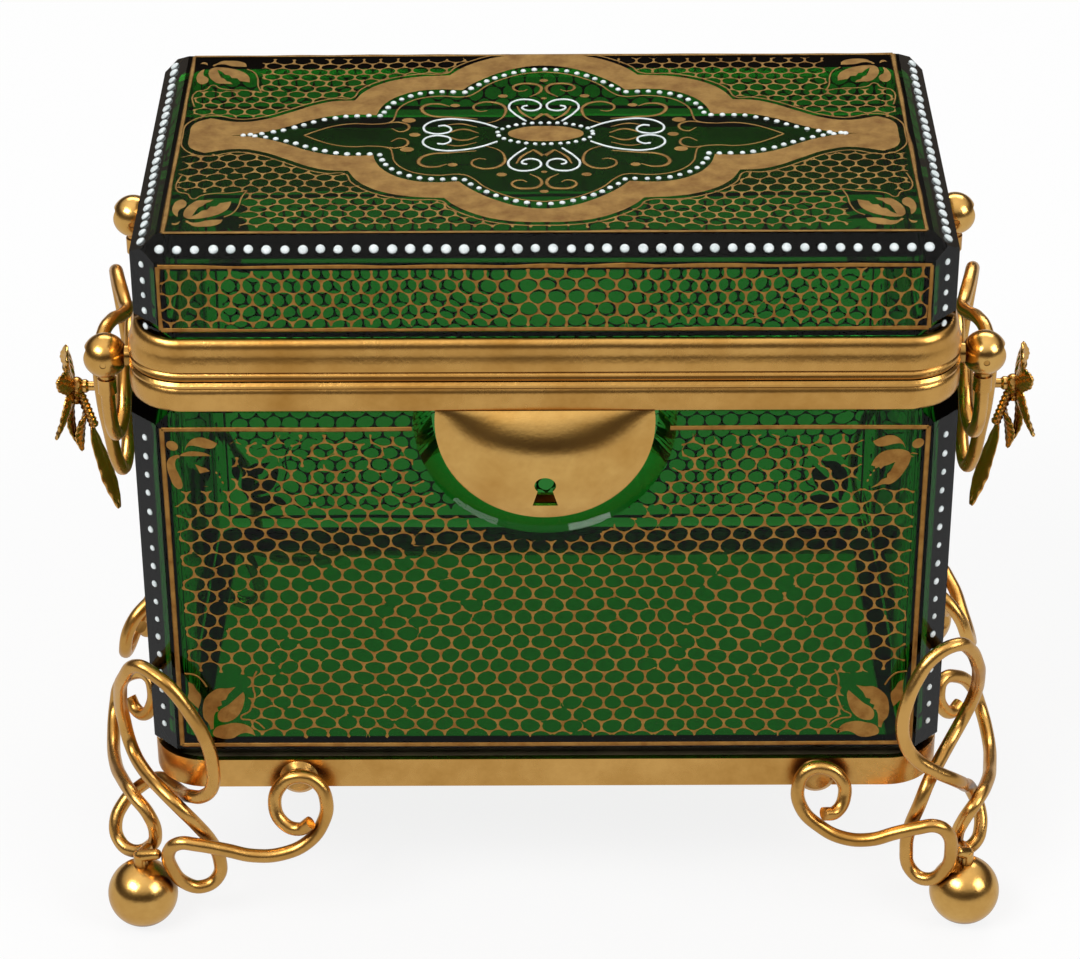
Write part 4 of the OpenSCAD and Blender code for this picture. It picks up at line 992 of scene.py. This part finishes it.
# A sprig in each corner: a bud, a big leaf split by a toothed slit, and smaller leaves beside it. The outlines
# are in millimetres across and along from the corner of the ruled frame, one set for each kind of corner.
high_sprig = [oval(1.5, 2.9, 1, 0.8, 40),
              [(3.4, 3.8, "cusp"), (3.9, 2.6, ""), (4.8, 1.7, ""), (6, 1.4, ""), (7.1, 1.7, ""),
               (8.6, 2.5, "cusp"), (8, 3.3, ""), (6.7, 3.4, ""), (5.3, 3, ""), (4, 3, "")],
              [(2.6, 4.8, ""), (3.6, 4.1, ""), (5.3, 4, ""), (6.9, 4.4, ""), (8, 5.4, ""), (8.7, 6.9, "cusp"),
               (8.1, 7.1, "cusp"), (8, 7.5, "cusp"), (7.4, 7.2, "cusp"), (7.2, 7.6, "cusp"), (6.6, 7, "cusp"),
               (6.1, 6.9, "cusp"), (4.9, 6.3, "cusp"), (5.6, 8, "cusp"), (6.1, 8.5, "cusp"),
               (6.1, 9.2, "cusp"), (6.9, 9.5, "cusp"), (7.5, 10.3, "cusp"), (8.6, 11.1, "cusp"),
               (7.7, 10.8, ""), (6.6, 10.4, ""), (5.6, 10.4, ""), (4.4, 9.5, ""), (3.4, 8, ""), (2.7, 6.4, "")],
              [(2.6, 4.8, ""), (1.3, 4.9, ""), (0.6, 5.7, ""), (0.5, 7, ""), (0.9, 8.9, ""), (1.4, 10.3, ""),
               (2, 10.9, "cusp"), (2.6, 10.7, ""), (2.7, 9.5, ""), (2.2, 8, ""), (1.8, 6.7, ""), (2, 5.4, "")],
              oval(8.2, 7.9, 0.22, 0.14, 60), oval(8.7, 8.7, 0.22, 0.14, 60), oval(9.1, 9.7, 0.24, 0.15, 60)]
low_sprig = [[(1.6, 12.6, "cusp"), (2.3, 12.2, ""), (2.9, 11, ""), (3.5, 10.1, ""), (3.5, 9, ""),
              (3, 7.3, "cusp"), (2.1, 8.4, ""), (1.4, 9.4, ""), (1.6, 10.5, "")],
             [(9.3, 11.6, "cusp"), (7.8, 11.3, ""), (6.5, 11.3, ""), (5.2, 10.5, ""), (4.2, 9.3, ""),
              (3.8, 7.9, ""), (3.7, 6.3, ""), (3.9, 5.2, ""), (4.5, 4.3, ""), (4.8, 3.1, "cusp"),
              (5.3, 3.2, "cusp"), (5.4, 4.8, ""), (5.5, 5.8, "cusp"), (5.8, 6.6, "cusp"), (6.3, 6.8, "cusp"),
              (6.1, 7.6, "cusp"), (6.9, 8, "cusp"), (6.8, 8.8, "cusp"), (7.6, 9.1, "cusp"), (8.1, 10.2, "cusp")],
             [(6.1, 5.5, ""), (6.4, 6.8, ""), (8, 8.1, ""), (8.9, 9, ""), (9.8, 9.9, ""), (10.5, 10.6, "cusp"),
              (10.7, 9.9, ""), (10.5, 8.3, ""), (10, 6.8, ""), (9.3, 5.7, ""), (8.3, 4.9, ""), (7.2, 4.6, ""),
              (6.4, 4.8, "")],
             [(5.4, 3.1, ""), (6.2, 3.8, ""), (7.3, 4.1, ""), (8.6, 4.4, ""), (9.8, 4.3, ""), (10.9, 3.9, ""),
              (11.7, 3.1, ""), (12.1, 1.8, "cusp"), (11.4, 2.2, ""), (10.4, 2.4, ""), (9.5, 2.1, ""),
              (8.5, 1.4, ""), (7.5, 1.2, ""), (6.2, 1.4, ""), (5.2, 2, "")]]
lid_sprig = [[(2.7, 10.5, ""), (3.3, 10.1, ""), (3.6, 9, ""), (3.4, 8, ""), (2.7, 7.1, ""), (2.6, 4.7, "cusp"),
              (2.1, 5.3, ""), (1.6, 6.8, ""), (1.6, 8.6, ""), (2.1, 10.1, "")],
             [(1.8, 2.6, "cusp"), (2.3, 2.6, ""), (3.1, 3.2, "cusp"), (2.6, 2, ""), (2, 2.1, "")],
             [(3.4, 5.6, ""), (3.6, 7.4, ""), (4.4, 9.2, ""), (5.3, 10.2, ""), (6.4, 10.3, ""),
              (7.7, 10.5, "cusp"), (7.3, 9.7, "cusp"), (6.7, 9.4, "cusp"), (6.2, 8.4, "cusp"),
              (5.6, 7.9, "cusp"), (5.1, 6.3, "cusp"), (4.8, 4.9, "cusp"), (5.6, 5.7, "cusp"),
              (6.2, 6.8, "cusp"), (6.9, 7, "cusp"), (7.4, 8.1, "cusp"), (8.3, 8.2, "cusp"), (8.8, 9.3, "cusp"),
              (9.8, 9.6, "cusp"), (10.5, 9.9, "cusp"), (10.3, 7.9, ""), (9.6, 6.4, ""), (8.4, 5.2, ""),
              (7.1, 4.5, ""), (5.5, 4, ""), (4.2, 4.1, ""), (3.6, 4.7, "")],
             [(4, 3.5, ""), (4.7, 2.9, ""), (5.8, 2.8, ""), (6.9, 3.4, ""), (8.4, 3.7, ""), (9.6, 3.7, "cusp"),
              (9.3, 2.5, ""), (8.1, 1.6, ""), (6.8, 1.4, ""), (5.5, 1.5, ""), (4.6, 2.3, "")]]

# A fine reserve line keeps the net off the sprig.
high_line = []
low_line = [[(1.1, 14.3), (2.9, 13.9), (3.9, 12.9), (4.6, 11.6)],
            [(12.9, 14.7), (12.3, 13.3), (12.2, 11.1), (12.4, 10), (11.9, 8.1), (11.3, 6.7), (9.9, 5.4),
             (11.3, 5), (12.6, 4.4), (13.7, 3.2)]]
lid_line = [[(2.1, 19), (1.9, 18.4), (1.9, 13.4), (3.5, 12.5), (4.5, 10.8), (5.7, 12), (8, 12.7), (10.1, 12.8),
             (12.7, 13.7)],
            [(12.7, 13.7), (12, 11.2), (11.7, 8.2), (10.9, 5.8), (9.7, 4.6)]]


def paint_sprigs(name, corners, face, body, material):
    """Sprigs and their lines at corners given as x, y, the way each runs, the leaves and the line."""
    shapes = []
    lines = []
    for x, y, sx, sy, leaves, line in corners:
        shapes += [[(x + px * sx, y + py * sy, kind) for px, py, kind in leaf] for leaf in leaves]
        lines += [[(x + px * sx, y + py * sy) for px, py in stroke] for stroke in line]
    lay(cut_shapes(name, shapes), face, body, material)
    if lines:
        lay(brush_lines(name + "_lines", lines, 0.00032), face, body, material, thickness=0)


def box_corners(half_x):
    return [(sx * -half_x, y, sx, sy, leaves, line) for sx in (1, -1)
            for y, sy, leaves, line in ((93.8, -1, high_sprig, high_line), (33.3, 1, low_sprig, low_line))]


paint_sprigs("lid_top_sprigs", [(sx * -59.2, sy * -31.4, sx, sy, lid_sprig, lid_line)
                                for sx in (1, -1) for sy in (1, -1)], on_lid_top, "lid", top_gilding)
paint_sprigs("front_sprigs", box_corners(60), on_side(0, half_d), "casket", gilding)
paint_sprigs("back_sprigs", box_corners(60), on_side(180, half_d), "casket", gilding)
for side, angle in (("right", 90), ("left", -90)):
    paint_sprigs(side + "_sprigs", box_corners(32.4), on_side(angle, half_w), "casket", gilding)


# The enamel dots: beads of white enamel, fired to low domes, along the bevels, the cut corners and the medallion.
def enamel_dots(name, spots, face, body):
    """Beads at (x, y, width) in millimetres on a face."""
    bpy.ops.object.select_all(action="DESELECT")
    bpy.ops.mesh.primitive_uv_sphere_add(segments=10, ring_count=6, radius=0.5)
    bead = bpy.context.object
    bpy.ops.object.mode_set(mode="EDIT")
    bpy.ops.mesh.select_all(action="SELECT")
    bpy.ops.mesh.bisect(plane_co=(0, 0, 0), plane_no=(0, 0, 1), clear_inner=True, use_fill=True)
    bpy.ops.object.mode_set(mode="OBJECT")
    corners = [vertex.co.copy() for vertex in bead.data.vertices]
    faces = [tuple(polygon.vertices) for polygon in bead.data.polygons]
    random.seed(len(spots))
    all_corners = []
    all_faces = []
    for x, y, width in spots:
        size = width * random.uniform(0.9, 1.08)
        dx = random.uniform(-0.07, 0.07)
        dy = random.uniform(-0.07, 0.07)
        start = len(all_corners)
        for corner in corners:
            all_corners.append(((x + dx + corner.x * size) / 1000, (y + dy + corner.y * size) / 1000,
                                corner.z * size * 0.62 / 1000))
        all_faces += [[start + index for index in face] for face in faces]
    bead.data.clear_geometry()
    bead.data.from_pydata(all_corners, [], all_faces)
    bead.data.transform(face)
    bead.data.materials.append(enamel)
    bead.name = name
    bpy.ops.object.shade_smooth()
    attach(bead, body)


def along(points, spacing, width):
    """Beads at even steps along a path."""
    spots = []
    travelled = 0
    due = spacing / 2
    for (x0, y0), (x1, y1) in zip(points, points[1:]):
        length = math.hypot(x1 - x0, y1 - y0)
        while due <= travelled + length:
            share = (due - travelled) / length
            spots.append((x0 + (x1 - x0) * share, y0 + (y1 - y0) * share, width))
            due += spacing
        travelled += length
    return spots


inner = [(x * 0.965, y * 0.945) for x, y, kind in four_quarters(band_inner)]
inner_path = [(x, y + medallion_y * 1000) for x, y in inner + inner[:1]]
oval_path = [(0.25 + 7.7 * math.cos(t * math.pi / 24), 2.05 + 3.9 * math.sin(t * math.pi / 24))
             for t in range(49)]
enamel_dots("medallion_dots", along(inner_path, 1.85, 1.0) + along(oval_path, 1.35, 0.8), on_lid_top, "lid")

# Bevel dots lie along the middle of the slanted faces: the bevel is 4.2 mm in and 3 mm down.
bevel_w = 0.0042
bevel_h = 0.003
slope = math.atan2(bevel_h, bevel_w)
for side, angle, reach, distance in (("front", 0, 60.28, lid_half_d), ("back", 180, 60.28, lid_half_d),
                                     ("right", 90, 32.88, lid_half_w), ("left", -90, 32.88, lid_half_w)):
    turned = Matrix.Rotation(math.radians(angle), 4, "Z")
    face = (turned @ Matrix.Translation((0, -distance, lid_high[2] - bevel_h))
            @ Matrix.Rotation(slope, 4, "X") @ Matrix.Translation((0, 0, lift)))
    enamel_dots("lid_" + side + "_bevel_dots", along([(-reach, 2.3), (reach, 2.3)], 2.74, 1.6), face, "lid")

cut = 0.0041
for name, half_x, half_y, low_z, high_z, body in (("lid", lid_half_w, lid_half_d, 109.2, 121.9, "lid"),
                                                  ("box", half_w, half_d, 34.5, 92.5, "casket")):
    pitch = 2.7 if body == "lid" else 3.44
    for corner, (sx, sy) in enumerate(((-1, -1), (1, -1), (1, 1), (-1, 1))):
        middle = Vector((sx * (half_x - cut / 2), sy * (half_y - cut / 2), 0))
        heading = math.degrees(math.atan2(sy, sx)) + 90
        face = (Matrix.Translation(middle) @ Matrix.Rotation(math.radians(heading), 4, "Z") @ upright
                @ Matrix.Translation((0, 0, lift)))
        enamel_dots(name + "_corner_dots_" + str(corner), along([(0, low_z), (0, high_z)], pitch, 1.15), face, body)
